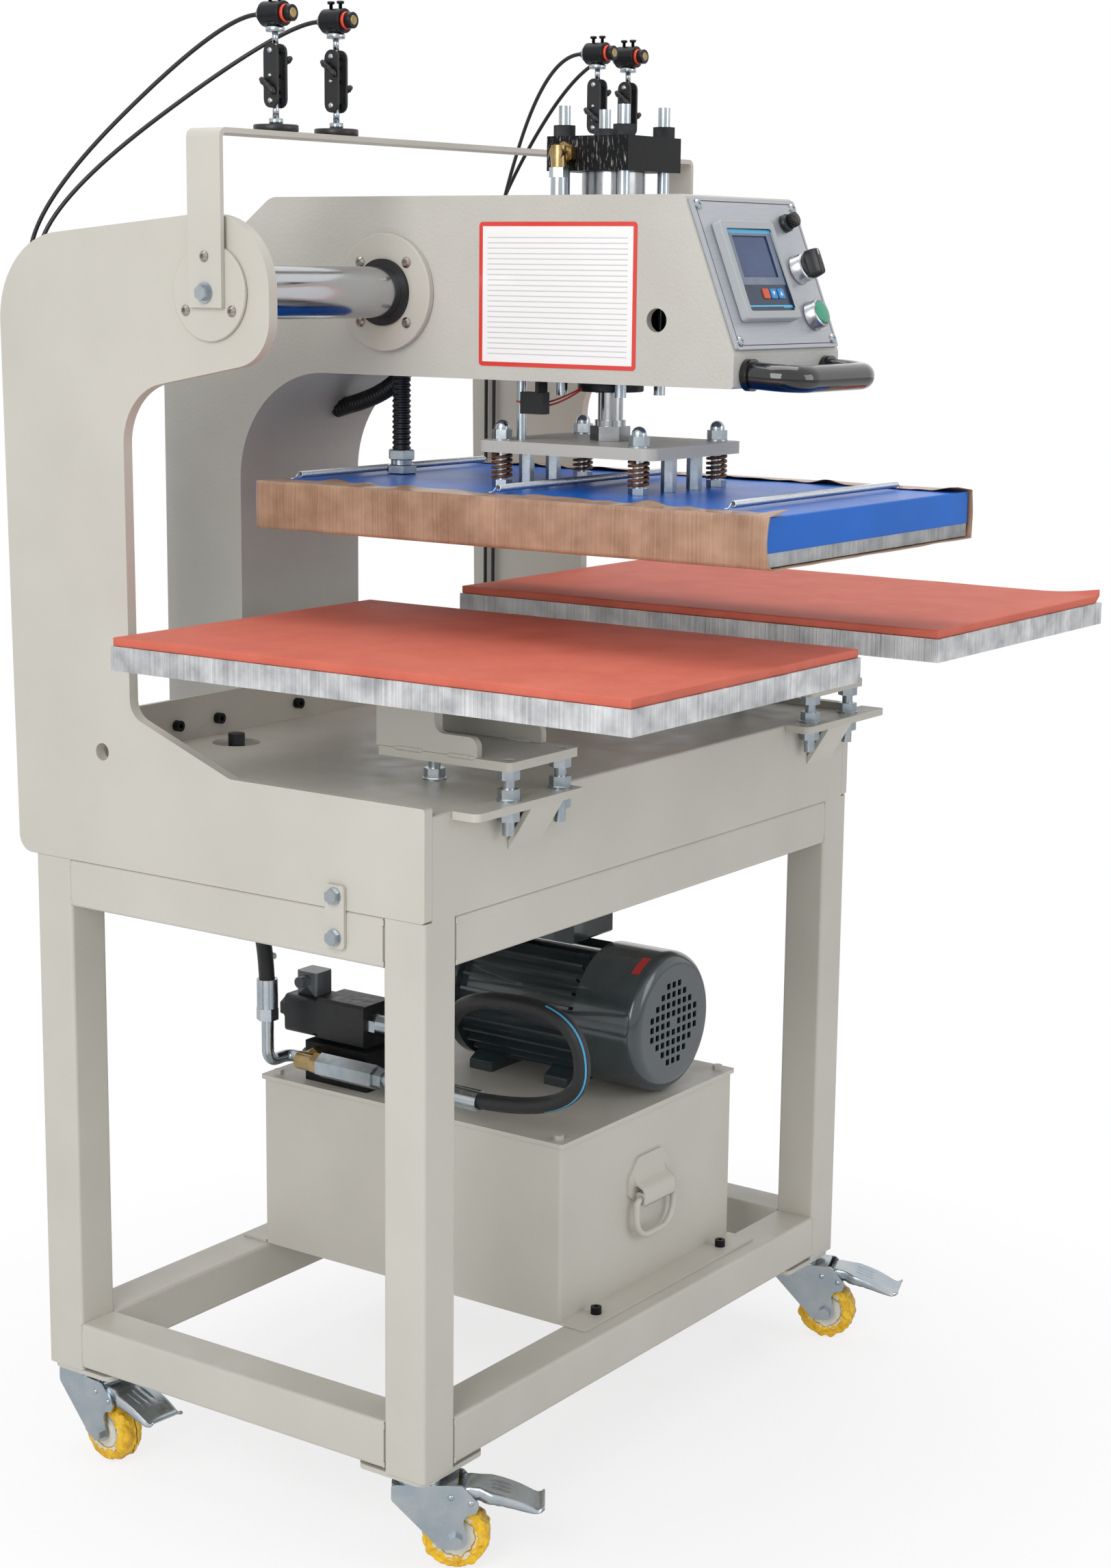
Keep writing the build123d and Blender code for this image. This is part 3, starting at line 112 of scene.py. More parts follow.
def coat(name, first, second, peel_mm, peel_height):
    made, tree, shader, place = new_finish(name, first, 0.42)
    two_tones(tree, shader, place, 140, first, second)
    vary_rough(tree, shader, place, 30, 0.36, 0.5)
    grain(tree, shader, place, peel_mm, peel_height)
    return made


cream = coat("cream powder coat", "#C3BFB5", "#BEBAB0", 2.2, 0.06)
arm_cream = coat("textured cream powder coat", "#C4C2BA", "#BDBBB3", 3.2, 0.5)


origin_x, origin_y = 13.0, -106.0
shaft_z = 1250.0
head_x = -35.6


def dress(node, base, *regions):
    # Each region is (material, test), and the test reads a face's centre in the source's millimetres.
    mesh = nodes[node].data
    mesh.materials.clear()
    mesh.materials.append(base)
    for material, test in regions:
        mesh.materials.append(material)
        index = len(mesh.materials) - 1
        for face in mesh.polygons:
            x, y, z = face.center
            if test(x * 1000 + origin_x, y * 1000 + origin_y, z * 1000):
                face.material_index = index


for name in ("stand_frame", "tray", "tray_brackets", "side_plate_left", "side_plate_right", "back_wall",
             "shaft_end_caps", "laser_bar", "pedestals", "pressure_plate", "tank_lid", "oil_tank", "tank_bail"):
    dress(name, cream)
dress("press_arm", arm_cream)

# Ground and hard-chromed shaft, piston rod and cylinder barrel.
# Centreless grinding leaves faint rings round the bar, so the highlight has fine cross lines.


def ground_bar(name, colour, rough, stretch):
    made, tree, shader, place = new_finish(name, colour, rough, 1.0)
    vary_rough(tree, shader, place, 22, rough * 0.7, rough * 1.5)
    grain(tree, shader, place, 60, 0.012, 0.5, stretch, 3.0)
    return made


shaft_chrome = ground_bar("hard chrome on a ground shaft", "#BDC0C4", 0.15, (40, 1, 1))
rod_chrome = ground_bar("hard chrome on a ground rod", "#9A9C9F", 0.14, (1, 1, 30))
barrel_steel = ground_bar("honed steel tube", "#8E9092", 0.2, (1, 1, 30))
dress("slide_shaft", shaft_chrome)
dress("piston_rod", rod_chrome)
dress("cylinder_barrel", barrel_steel)

# Zinc-plated fasteners and fittings, stainless button heads and black-oxide screws.
# Bright zinc shows soft blue and yellow patches, and stainless is warmer and darker.
zinc, tree, shader, place = new_finish("bright zinc plate", "#A9B2B9", 0.22, 1.0)
two_tones(tree, shader, place, 30, "#A3AEB6", "#B4BABE")
vary_rough(tree, shader, place, 10, 0.18, 0.3)
grain(tree, shader, place, 3.0, 0.02, 0.6)
stainless, tree, shader, place = new_finish("turned stainless steel", "#A39D96", 0.26, 1.0)
grain(tree, shader, place, 2.0, 0.02)
vary_rough(tree, shader, place, 5, 0.18, 0.34)
black_oxide, tree, shader, place = new_finish("black oxide steel", "#1B1C1E", 0.42, 0.7)
two_tones(tree, shader, place, 25, "#131415", "#24262A")
vary_rough(tree, shader, place, 12, 0.3, 0.55)
grain(tree, shader, place, 1.5, 0.04)
brass, tree, shader, place = new_finish("machined brass", "#A48C60", 0.3, 1.0)
two_tones(tree, shader, place, 12, "#967F55", "#B09A70")
vary_rough(tree, shader, place, 6, 0.2, 0.4)
bush_black, tree, shader, place = new_finish("black nylon bush", "#0C0C0D", 0.45)
grain(tree, shader, place, 0.9, 0.02)

dress("levelling_studs", zinc)
dress("platen_studs", zinc)
dress("frame_screws", zinc,
      (stainless, lambda x, y, z: abs(x) > 400 and math.hypot(y, z - shaft_z) > 24 and z > 1200),
      (black_oxide, lambda x, y, z: (z > 770 and z < 810) or z < 180),
      (cream, lambda x, y, z: 355 < z < 372))
dress("shaft_flanges", cream,
      (bush_black, lambda x, y, z: math.hypot(y, z - shaft_z) < 34.2),
      (stainless, lambda x, y, z: abs(x - head_x) > 108.55 and math.hypot(y, z - shaft_z) > 36))
dress("tie_rods_and_feed", zinc,
      (black_oxide, lambda x, y, z: 1405 < z < 1417.5 and abs(x - head_x) < 49),
      (brass, lambda x, y, z: x < -84.6 and z > 1375))
dress("pipe_fittings", zinc,
      (brass, lambda x, y, z: x < -85 and y > 119 and z > 370 and y < 160 and x > -125))
dress("caster_plates", cream, (zinc, lambda x, y, z: z < 99.5))
for corner in ("front_left", "front_right", "back_left", "back_right"):
    dress("caster_fork_" + corner, zinc)

# Black saw-cut cylinder block, gland and micro-switch.
# The block's left face keeps bright saw scores through its black coat.


def maths(tree, operation, first, second=None):
    values = {0: first} if second is None else {0: first, 1: second}
    return add(tree, "ShaderNodeMath", values, operation=operation).outputs[0]


saw_cut, tree, shader, place = new_finish("blackened saw-cut steel", "#17181A", 0.38, 0.75)
where = add(tree, "ShaderNodeMapping", {"Vector": place, "Scale": (1, 9, 1.2)}).outputs[0]
scores = add(tree, "ShaderNodeTexNoise", {"Vector": where, "Scale": 60.0, "Detail": 6.0, "Roughness": 0.7})
bright = add(tree, "ShaderNodeMapRange", {"Value": scores.outputs[0], "From Min": 0.56, "From Max": 0.66})
side_face = add(tree, "ShaderNodeSeparateXYZ", {0: add(tree, "ShaderNodeNewGeometry").outputs["True Normal"]})
left_only = maths(tree, "LESS_THAN", side_face.outputs[0], -0.9)
amount = maths(tree, "MULTIPLY", bright.outputs[0], left_only)
paint(tree, shader, amount, "#17181A", "#B9B9B6")
relief(tree, shader, scores.outputs[0], 0.6, 0.0004)
black_nylon, tree, shader, place = new_finish("black moulded nylon", "#121315", 0.4)
grain(tree, shader, place, 0.8, 0.03)
vary_rough(tree, shader, place, 9, 0.34, 0.5)
dress("cylinder_caps", saw_cut,
      (black_oxide, lambda x, y, z: z < 1170),
      (black_nylon, lambda x, y, z: z < 1170 and x < -98))
dress("manifold", black_oxide)

# Sawn aluminium tables and heater plate.
# The band saw leaves upright scores every few millimetres on the edges, and the faces are plain mill finish.


def sawn_aluminium(name, first, second, score_mm):
    made, tree, shader, place = new_finish(name, first, 0.42, 1.0)
    flat = add(tree, "ShaderNodeSeparateXYZ", {0: place})
    across = maths(tree, "ADD", flat.outputs[0], flat.outputs[1])
    wobble = add(tree, "ShaderNodeTexNoise", {"Vector": place, "Scale": 40.0, "Detail": 3.0})
    line = add(tree, "ShaderNodeCombineXYZ", {0: across})
    scores = add(tree, "ShaderNodeTexNoise", {"Vector": line.outputs[0], "Scale": 1000.0 / score_mm,
                                              "Detail": 5.0, "Roughness": 0.65})
    both = maths(tree, "ADD", scores.outputs[0], wobble.outputs[0])
    tone = add(tree, "ShaderNodeMapRange", {"Value": both, "From Min": 0.75, "From Max": 1.25})
    paint(tree, shader, tone.outputs[0], first, second)
    rough = add(tree, "ShaderNodeMapRange", {"Value": both, "From Min": 0.7, "From Max": 1.3,
                                             "To Min": 0.34, "To Max": 0.6})
    tree.links.new(rough.outputs[0], shader.inputs["Roughness"])
    relief(tree, shader, scores.outputs[0], 0.8, 0.0008)
    return made


dress("work_tables", sawn_aluminium("sawn aluminium slab", "#B0B2B4", "#DCDDDE", 4.0))
dress("heater_plate", sawn_aluminium("sawn heater plate", "#8E9093", "#B9BBBD", 5.0))

# Heater cover: folded steel sheet over the heater's insulation, held by its studs.
# The stoved enamel is a satin azure, smooth enough to mirror the pale arm above it.
blue, tree, shader, place = new_finish("satin blue enamel", "#0064C8", 0.33)
two_tones(tree, shader, place, 120, "#0066CC", "#0060BE")
vary_rough(tree, shader, place, 90, 0.3, 0.38)
grain(tree, shader, place, 2.0, 0.005)
shader.inputs["Specular IOR Level"].default_value = 0.3
dress("heater_cover", blue)

# Motor, cowl and fan: a cast aluminium body with cooling fins, and a pressed steel cowl screwed over its end.
# A thick dark grey gloss enamel runs a little on the fins, and the fan behind the grille is matt nylon.
motor_grey, tree, shader, place = new_finish("dark grey gloss enamel", "#333C40", 0.2, coat=0.6)
two_tones(tree, shader, place, 50, "#313A3E", "#384246")
vary_rough(tree, shader, place, 40, 0.14, 0.24)
grain(tree, shader, place, 7.0, 0.12)
fan_black, tree, shader, place = new_finish("black fan nylon", "#17191B", 0.55)
grain(tree, shader, place, 1.0, 0.03)
dress("motor", motor_grey, (black_nylon, lambda x, y, z: x > 169.5 and z > 520))
dress("motor_cowl", motor_grey)
dress("motor_fan", fan_black)
smoke, tree, shader, place = new_finish("smoky clear plug", "#6A6E72", 0.2)
shader.inputs["Transmission Weight"].default_value = 0.35
grain(tree, shader, place, 3.0, 0.02)
dress("solenoid_valve", black_nylon, (smoke, lambda x, y, z: z > 459.0 and y > 150))

# Control panel: brushed aluminium plate under four zinc screws, with the controller and the pull handle.
# The controller is a grey bezel round a dark face with a light stripe, a display and three keys.
slope = Vector((0, 60.0, 150.0)).normalized()
outward = Vector((0, -slope.z, slope.y))
panel_corner = Vector((-136.1, -419.0, 1197.0))


def on_panel(x, y, z):
    rel = Vector((x, y, z)) - panel_corner
    return rel.x, rel.dot(slope), rel.dot(outward)


brushed, tree, shader, place = new_finish("brushed panel aluminium", "#ADB0B6", 0.4, 0.6)
where = add(tree, "ShaderNodeMapping", {"Vector": place, "Scale": (1, 30, 30)}).outputs[0]
lines = add(tree, "ShaderNodeTexNoise", {"Vector": where, "Scale": 40.0, "Detail": 5.0})
paint(tree, shader, lines.outputs[0], "#A9ACB2", "#BCBFC4")
relief(tree, shader, lines.outputs[0], 0.25, 0.0002)
bezel_grey, tree, shader, place = new_finish("light grey instrument plastic", "#A9ADAF", 0.4)
grain(tree, shader, place, 0.8, 0.02)
navy, tree, shader, place = new_finish("navy membrane face", "#1B2C46", 0.25)
two_tones(tree, shader, place, 30, "#182842", "#21354F")
glass_dark, tree, shader, place = new_finish("blue display glass", "#2A3F68", 0.1)
two_tones(tree, shader, place, 60, "#263A62", "#344B76")
orange_key, tree, shader, place = new_finish("orange membrane key", "#D0532A", 0.4)
grain(tree, shader, place, 0.8, 0.02)
blue_key, tree, shader, place = new_finish("light blue membrane key", "#2E86C8", 0.4)
grain(tree, shader, place, 0.8, 0.02)
stripe_blue, tree, shader, place = new_finish("pale blue stripe", "#4FB4DE", 0.35)
grain(tree, shader, place, 0.8, 0.02)
gloss_black, tree, shader, place = new_finish("polished black phenolic", "#0B0B0C", 0.1, coat=0.6)
grain(tree, shader, place, 12.0, 0.05)
vary_rough(tree, shader, place, 40, 0.07, 0.16)


dress("control_panel", brushed, (zinc, lambda x, y, z: on_panel(x, y, z)[2] > 4.45))


def in_window(x, y, z):
    a, b, c = on_panel(x, y, z)
    return 32.5 < a < 117.5 and abs(b - 80.8) < 42.3 and c < 13.2


def key_test(index):
    def test(x, y, z):
        a, b, c = on_panel(x, y, z)
        return in_window(x, y, z) and c > 11.95 and abs(a - (73 + 14 * index)) < 6 and abs(b - 56.8) < 6
    return test


def in_display(x, y, z):
    a, b, c = on_panel(x, y, z)
    return in_window(x, y, z) and c < 11.0


dress("controller", bezel_grey, (navy, in_window), (glass_dark, in_display),
      (orange_key, key_test(0)), (blue_key, key_test(1)), (blue_key, key_test(2)))
dress("pull_handle", gloss_black)

# Foam pads on the two tables: closed-cell silicone sponge sheet, sawn to size and glued down flat.
# The skin is nearly smooth with fine pores, the cut edge is open, and the right pad's corner has curled up.


def at(x, y, z):
    # A place in the source's millimetres, as metres in the frame.
    return Vector(((x - origin_x) / 1000, (y - origin_y) / 1000, z / 1000))


def keep(mesh, name, material, body, smooth=True):
    data = bpy.data.meshes.new(name)
    mesh.to_mesh(data)
    mesh.free()
    made = bpy.data.objects.new(name, data)
    bpy.context.collection.objects.link(made)
    for one in material if isinstance(material, (list, tuple)) else (material,):
        data.materials.append(one)
    for face in data.polygons:
        face.use_smooth = smooth
    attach(made, body)
    return made


def soften(made, width_mm, segments=3, angle=40):
    rounding = made.modifiers.new("soft edges", "BEVEL")
    rounding.width = width_mm / 1000
    rounding.segments = segments
    rounding.limit_method = "ANGLE"
    rounding.angle_limit = math.radians(angle)


def wave(x, y, z, scale, seed=0.0):
    return noise_at(Vector((x / scale + seed, y / scale - seed, z / scale + 0.5 * seed)))


foam, tree, shader, place = new_finish("orange-red silicone sponge", "#C9624E", 0.62)
two_tones(tree, shader, place, 45, "#C45D48", "#CD6752")
pores = add(tree, "ShaderNodeTexVoronoi", {"Vector": place, "Scale": 900.0})
skin = add(tree, "ShaderNodeTexNoise", {"Vector": place, "Scale": 160.0, "Detail": 4.0})
both = maths(tree, "ADD", pores.outputs[0], skin.outputs[0])
relief(tree, shader, both, 0.35, 0.0004)
pad_wide = 396.0
pad_deep = 606.0
pad_y = -224.0
pad_low = 910.6
pad_high = 919.0
curl_start_x = 486.8
curl_wide = 4.5
curl_reach = 75.0
pads = bmesh.new()
for middle_x, curl in ((-268.0, 0.0), (294.0, 7.0)):
    made = bmesh.ops.create_cube(pads, size=1.0)["verts"]
    edges = list({edge for vert in made for edge in vert.link_edges})
    along_x = [e for e in edges if abs(e.verts[0].co.x - e.verts[1].co.x) > 0.5]
    bmesh.ops.subdivide_edges(pads, edges=along_x, cuts=39, use_grid_fill=True)
    edges = [e for e in pads.edges if abs(e.verts[0].co.y - e.verts[1].co.y) > 0.9
             and max(abs(v.co.x) for v in e.verts) <= 0.51]
    bmesh.ops.subdivide_edges(pads, edges=edges, cuts=59, use_grid_fill=True)
    for vert in pads.verts:
        if vert.tag:
            continue
        vert.tag = True
        x = middle_x + vert.co.x * pad_wide
        y = pad_y + vert.co.y * pad_deep
        top = vert.co.z > 0
        low = 0.3 * (wave(x, y, 0, 60) + 0.4) if top else 0.0
        reach = math.hypot(x - (middle_x + pad_wide / 2), y - (pad_y - pad_deep / 2))
        outside = max(0.0, min(1.0, (x - curl_start_x) / curl_wide))
        rise = curl * outside * max(0.0, 1 - reach / curl_reach) ** 2
        wobble = 0.5 * wave(x, y, 3, 30) if abs(vert.co.x) > 0.49 or abs(vert.co.y) > 0.49 else 0.0
        vert.co = at(x + wobble, y + wobble, (pad_high - low if top else pad_low) + rise)
pads = keep(pads, "foam_pads", foam, "stand")
soften(pads, 1.2)
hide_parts("silicone_pads")

# Release sheet: brown PTFE-coated glass cloth, stretched round the heater and folded over its long sides.
# Pull lines run round the platen, the folded edges wander, and the front edge stands a little proud.


def join_rings(mesh, rings, closed=True, material_index=0):
    # The walls between each ring of vertices and the next.
    for first, second in zip(rings, rings[1:]):
        for index in range(len(first) if closed else len(first) - 1):
            after = (index + 1) % len(first)
            face = mesh.faces.new((first[index], first[after], second[after], second[index]))
            face.material_index = material_index


cloth, tree, shader, place = new_finish("PTFE-coated glass cloth", "#9A6B49", 0.36, coat=0.25)
flat = add(tree, "ShaderNodeSeparateXYZ", {0: place})
drift = add(tree, "ShaderNodeTexNoise", {"Vector": place, "Scale": 22.0, "Detail": 2.0})
bend = maths(tree, "MULTIPLY", drift.outputs[0], 0.006)
along = maths(tree, "ADD", flat.outputs[1], bend)
line = add(tree, "ShaderNodeCombineXYZ", {1: along})
pulls = add(tree, "ShaderNodeTexNoise", {"Vector": line.outputs[0], "Scale": 420.0, "Detail": 4.0,
                                         "Roughness": 0.7})
patches = add(tree, "ShaderNodeTexNoise", {"Vector": place, "Scale": 30.0, "Detail": 3.0})
both = maths(tree, "ADD", pulls.outputs[0], patches.outputs[0])
tone = add(tree, "ShaderNodeMapRange", {"Value": both, "From Min": 0.72, "From Max": 1.3})
paint(tree, shader, tone.outputs[0], "#8D6A50", "#BE9B80")
weave = add(tree, "ShaderNodeTexChecker", {"Vector": place, "Scale": 900.0})
low = maths(tree, "MULTIPLY", weave.outputs[1], 0.15)
high = maths(tree, "ADD", pulls.outputs[0], low)
relief(tree, shader, high, 0.6, 0.0007)

wrap_half = 203.0
wrap_top = 1057.2
wrap_low = 1009.0
fold = 34.0
spring_ys = (-458.0, -186.0, 70.0)
fold_line = [(-wrap_half + fold, wrap_top), (-wrap_half, wrap_top), (-wrap_half, wrap_low),
             (wrap_half, wrap_low), (wrap_half, wrap_top), (wrap_half - fold, wrap_top)]
section = []
for part, (first, second) in enumerate(zip(fold_line, fold_line[1:])):
    steps = (8, 14, 60, 14, 8)[part]
    for step in range(steps + (part == 4)):
        share = step / steps
        section.append((first[0] + (second[0] - first[0]) * share, first[1] + (second[1] - first[1]) * share,
                        part, share))
wrap = bmesh.new()
rows = []
front_y = -522.0
back_y = 92.0
row_count = 240
for row in range(row_count + 1):
    along = row / row_count
    ring = []
    for px, pz, part, share in section:
        y = front_y + (back_y - front_y) * along
        x, z = px, pz
        side = -1 if px < 0 else 1
        front = max(0.0, 1 - along * 22)
        if part in (0, 4):
            inner = 1 - share if part == 0 else share
            x += side * -6.0 * inner * wave(y, 0, side, 60, 1.7)
            near = min(abs(y - spring_y) for spring_y in spring_ys)
            free = min(1.0, max(0.0, (near - 14) / 30))
            z += 4.6 * inner * free * max(0.0, wave(y, 3, side, 32, 4.1) + 0.3)
            z += 3.0 * front * inner
        if part in (1, 3):
            down_share = share if part == 1 else 1 - share
            puff = math.sin(math.pi * down_share)
            x += side * puff * (0.8 + 1.2 * wave(y, z, side, 45, 2.2))
            x += side * 0.5 * wave(y, z * 0.15, side, 9, 5.0)
            x += side * 3.5 * front * puff
        if part == 2:
            z -= 0.3 + 0.3 * wave(x, y, 7, 50)
        pull = 2.0 + 2.5 * wave(x, z, 11, 35, 3.3)
        if part == 2:
            pull += 3.5
        y -= pull * front
        ring.append(wrap.verts.new(at(head_x + x, y, z)))
    rows.append(ring)
join_rings(wrap, rows, closed=False)
bmesh.ops.recalc_face_normals(wrap, faces=wrap.faces)
wrap = keep(wrap, "glass_cloth_wrap", cloth, "platen")
thick = wrap.modifiers.new("cloth thickness", "SOLIDIFY")
thick.thickness = 0.0004
thick.offset = 0.0
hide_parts("release_sheet")

# Extension springs: close-wound zinc wire with a hook at each end, hooked over the cloth's folded edges.
# Bright spring wire, 200 touching turns a spring, and the ends bent down over the cloth.


def tube(mesh, points, radius, sides=8, material_index=0):
    rings = []
    count = len(points)
    up = Vector((0, 0, 1))
    ahead = (points[1] - points[0]).normalized()
    if abs(ahead.dot(up)) > 0.9:
        up = Vector((1, 0, 0))
    side = ahead.cross(up).normalized()
    for index, point in enumerate(points):
        ahead = (points[min(index + 1, count - 1)] - points[max(index - 1, 0)]).normalized()
        side = (side - ahead * side.dot(ahead)).normalized()
        over = ahead.cross(side)
        size = radius[index] if isinstance(radius, (list, tuple)) else radius
        rings.append([mesh.verts.new(point + side * size * math.cos(2 * math.pi * turn / sides)
                                     + over * size * math.sin(2 * math.pi * turn / sides))
                      for turn in range(sides)])
    join_rings(mesh, rings, material_index=material_index)
    for cap in (rings[0][::-1], rings[-1]):
        mesh.faces.new(cap).material_index = material_index


coils = bmesh.new()
coil_z = 1062.1
coil_radius = 3.1
wire = 0.7
for coil_y in spring_ys:
    left = head_x - 202.3 + fold + 6
    right = head_x + 202.3 - fold - 6
    turns = 200
    steps = 12
    points = [at(left - 12, coil_y, coil_z - 3.3), at(left - 6, coil_y, coil_z - 3.3),
              at(left - 3, coil_y, coil_z - 1.2), at(left - 0.5, coil_y, coil_z + 1.6)]
    for step in range(turns * steps + 1):
        turn = 2 * math.pi * step / steps
        grow = min(1.0, step / 8, (turns * steps - step) / 8 + 0.1)
        points.append(at(left + 2 + (right - left - 4) * step / (turns * steps),
                         coil_y + coil_radius * grow * math.sin(turn), coil_z + coil_radius * grow * math.cos(turn)))
    points += [at(right + 0.5, coil_y, coil_z + 1.6), at(right + 3, coil_y, coil_z - 1.2),
               at(right + 6, coil_y, coil_z - 3.3), at(right + 12, coil_y, coil_z - 3.3)]
    tube(coils, points, wire / 1000, 5)
spring_wire, tree, shader, place = new_finish("bright zinc spring wire", "#C6CACE", 0.3, 0.9)
vary_rough(tree, shader, place, 8, 0.24, 0.4)
grain(tree, shader, place, 1.0, 0.01)
coils = keep(coils, "tension_coils", spring_wire, "platen")
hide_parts("extension_springs")

# Heater conduit: black corrugated nylon conduit in a zinc hexagonal gland, with a second run under the arch.
# The corrugations are 5.6 mm apart, and the second conduit passes between two holes in the arm's sheet.
ribbed, tree, shader, place = new_finish("black corrugated nylon", "#101113", 0.36)
vary_rough(tree, shader, place, 12, 0.3, 0.45)
grain(tree, shader, place, 1.0, 0.02)


def corrugated(mesh, points, small, large, pitch):
    fine = []
    for first, second in zip(points, points[1:]):
        steps = max(1, round((second - first).length / (pitch / 4)))
        fine += [first.lerp(second, step / steps) for step in range(steps)]
    fine.append(points[-1])
    sizes = [(small, (small + large) / 2, large, (small + large) / 2)[index % 4] for index in range(len(fine))]
    tube(mesh, fine, sizes, 20)


def hexagon(mesh, middle, axis, flats, height, material_index=0, chamfer=0.12):
    axis = axis.normalized()
    side = axis.orthogonal().normalized()
    over = axis.cross(side)
    rings = []
    for level, size in ((0.0, 1 - chamfer), (0.1, 1.0), (0.9, 1.0), (1.0, 1 - chamfer)):
        ring = []
        for turn in range(6):
            angle = math.pi / 3 * turn
            reach = flats / math.sqrt(3) * size
            ring.append(mesh.verts.new(middle + axis * height * level
                                       + (side * math.cos(angle) + over * math.sin(angle)) * reach))
        rings.append(ring)
    join_rings(mesh, rings, material_index=material_index)
    for cap in (rings[0][::-1], rings[-1]):
        mesh.faces.new(cap).material_index = material_index


def bezier(first, second, third, last, count):
    return [first * (1 - t) ** 3 + second * 3 * t * (1 - t) ** 2 + third * 3 * t * t * (1 - t) + last * t ** 3
            for t in [index / count for index in range(count + 1)]]


feed = bmesh.new()
feed_x, feed_y = -49.6, 51.0
rib_pitch = 0.0056
up = Vector((0, 0, 1))
corrugated(feed, [at(feed_x, feed_y, 1081), at(feed_x, feed_y, 1288)], 0.0084, 0.0103, rib_pitch)
hexagon(feed, at(feed_x, feed_y, 1056.4), up, 0.030, 0.010, 1)
hexagon(feed, at(feed_x, feed_y, 1071), up, 0.026, 0.0115, 1)
tube(feed, [at(feed_x, feed_y, 1066), at(feed_x, feed_y, 1071.5)], 0.0115, 24, 1)
feed = keep(feed, "corrugated_conduit", [ribbed, zinc], "platen")
for face in feed.data.polygons:
    face.use_smooth = face.material_index == 0
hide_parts("heater_conduit")
run = bmesh.new()
corrugated(run, bezier(at(2, 186, 1118), at(-4, 150, 1128), at(-18, 90, 1136), at(-22, 62, 1172), 40),
           0.0080, 0.0099, rib_pitch)
run = keep(run, "arch_conduit", ribbed, "head")

# Hydraulic hoses: two-braid rubber hose with a cloth-marked cover and a pale blue stripe along one side.
# The loop leaves the non-return valve, turns up and comes back into the valve block; the riser goes up.
rubber, tree, shader, place = new_finish("black hydraulic hose cover", "#131416", 0.5)
grain(tree, shader, place, 1.1, 0.12)
vary_rough(tree, shader, place, 15, 0.42, 0.6)
bend_y, bend_z = -0.064, 0.451
stripe_reach = 0.0545
stripe_left, stripe_right = -0.1262, -0.1242
stripe_end_y = -0.085
flat = add(tree, "ShaderNodeSeparateXYZ", {0: place})
from_y = maths(tree, "ADD", flat.outputs[1], -bend_y)
from_z = maths(tree, "ADD", flat.outputs[2], -bend_z)
reach = add(tree, "ShaderNodeVectorMath",
            {0: add(tree, "ShaderNodeCombineXYZ", {0: from_y, 1: from_z}).outputs[0]},
            operation="LENGTH")
outside = maths(tree, "GREATER_THAN", reach.outputs["Value"], stripe_reach)
lowest = maths(tree, "GREATER_THAN", flat.outputs[0], stripe_left)
highest = maths(tree, "LESS_THAN", flat.outputs[0], stripe_right)
band = maths(tree, "MULTIPLY", lowest, highest)
band = maths(tree, "MULTIPLY", band, outside)
bend_only = maths(tree, "LESS_THAN", flat.outputs[1], stripe_end_y)
band = maths(tree, "MULTIPLY", band, bend_only)
paint(tree, shader, band, "#131416", "#3E9FCB")


def spline(name, points, radius, material, body):
    data = bpy.data.curves.new(name, "CURVE")
    data.dimensions = "3D"
    data.bevel_depth = radius
    data.bevel_resolution = 5
    data.use_fill_caps = True
    data.resolution_u = 16
    line = data.splines.new("NURBS")
    line.points.add(len(points) - 1)
    for point, place in zip(line.points, points):
        point.co = (*place, 1.0)
    line.order_u = 3
    line.use_endpoint_u = True
    made = bpy.data.objects.new(name, data)
    bpy.context.collection.objects.link(made)
    data.materials.append(material)
    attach(made, body)
    return made


loop_route = [(-108, -70, 392), (-108, -236, 392), (-108, -236, 510), (-108, -82, 510), (-62, -18, 436),
              (-62, 68, 436)]
riser_route = [(-110, 198, 450.3), (-110, 198, 542.3), (-210, 150, 592.3), (-210, 150, 782)]
loop = spline("loop_hose", [at(*point) for point in loop_route], 0.009, rubber, "stand")
riser = spline("riser_hose", [at(*point) for point in riser_route], 0.009, rubber, "stand")
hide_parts("hydraulic_hoses")
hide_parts("hydraulic_hoses")

# Laser leads: thin two-core cable from each pointer, over the side plate and down its back edge.
# Each lead is soft PVC, hangs behind the side plate and ends on the stand's rear rail.
lead_black, tree, shader, place = new_finish("black PVC lead", "#0F1011", 0.42)
grain(tree, shader, place, 0.7, 0.02)
vary_rough(tree, shader, place, 20, 0.36, 0.5)
laser_xs = (-309.0, -218.0, 241.0, 303.0)
laser_z = 1514.0
lead_end_z = 670.0
for index, (laser_x, down_y, lead_length) in enumerate(zip(laser_xs, (262.0, 250.0, 250.0, 262.0),
                                                           (0.967, 0.992, 0.981, 0.968))):
    down_x = math.copysign(386.0, laser_x)
    route = [(laser_x, 23.3, laser_z), (laser_x, 69, laser_z), (down_x, down_y, 1330), (down_x, down_y, 1230),
             (down_x, down_y, lead_end_z)]
    lead = spline("laser_lead_" + str(index + 1), [at(*point) for point in route], 0.0022, lead_black,
                  "stand")
    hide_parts("laser_cables")

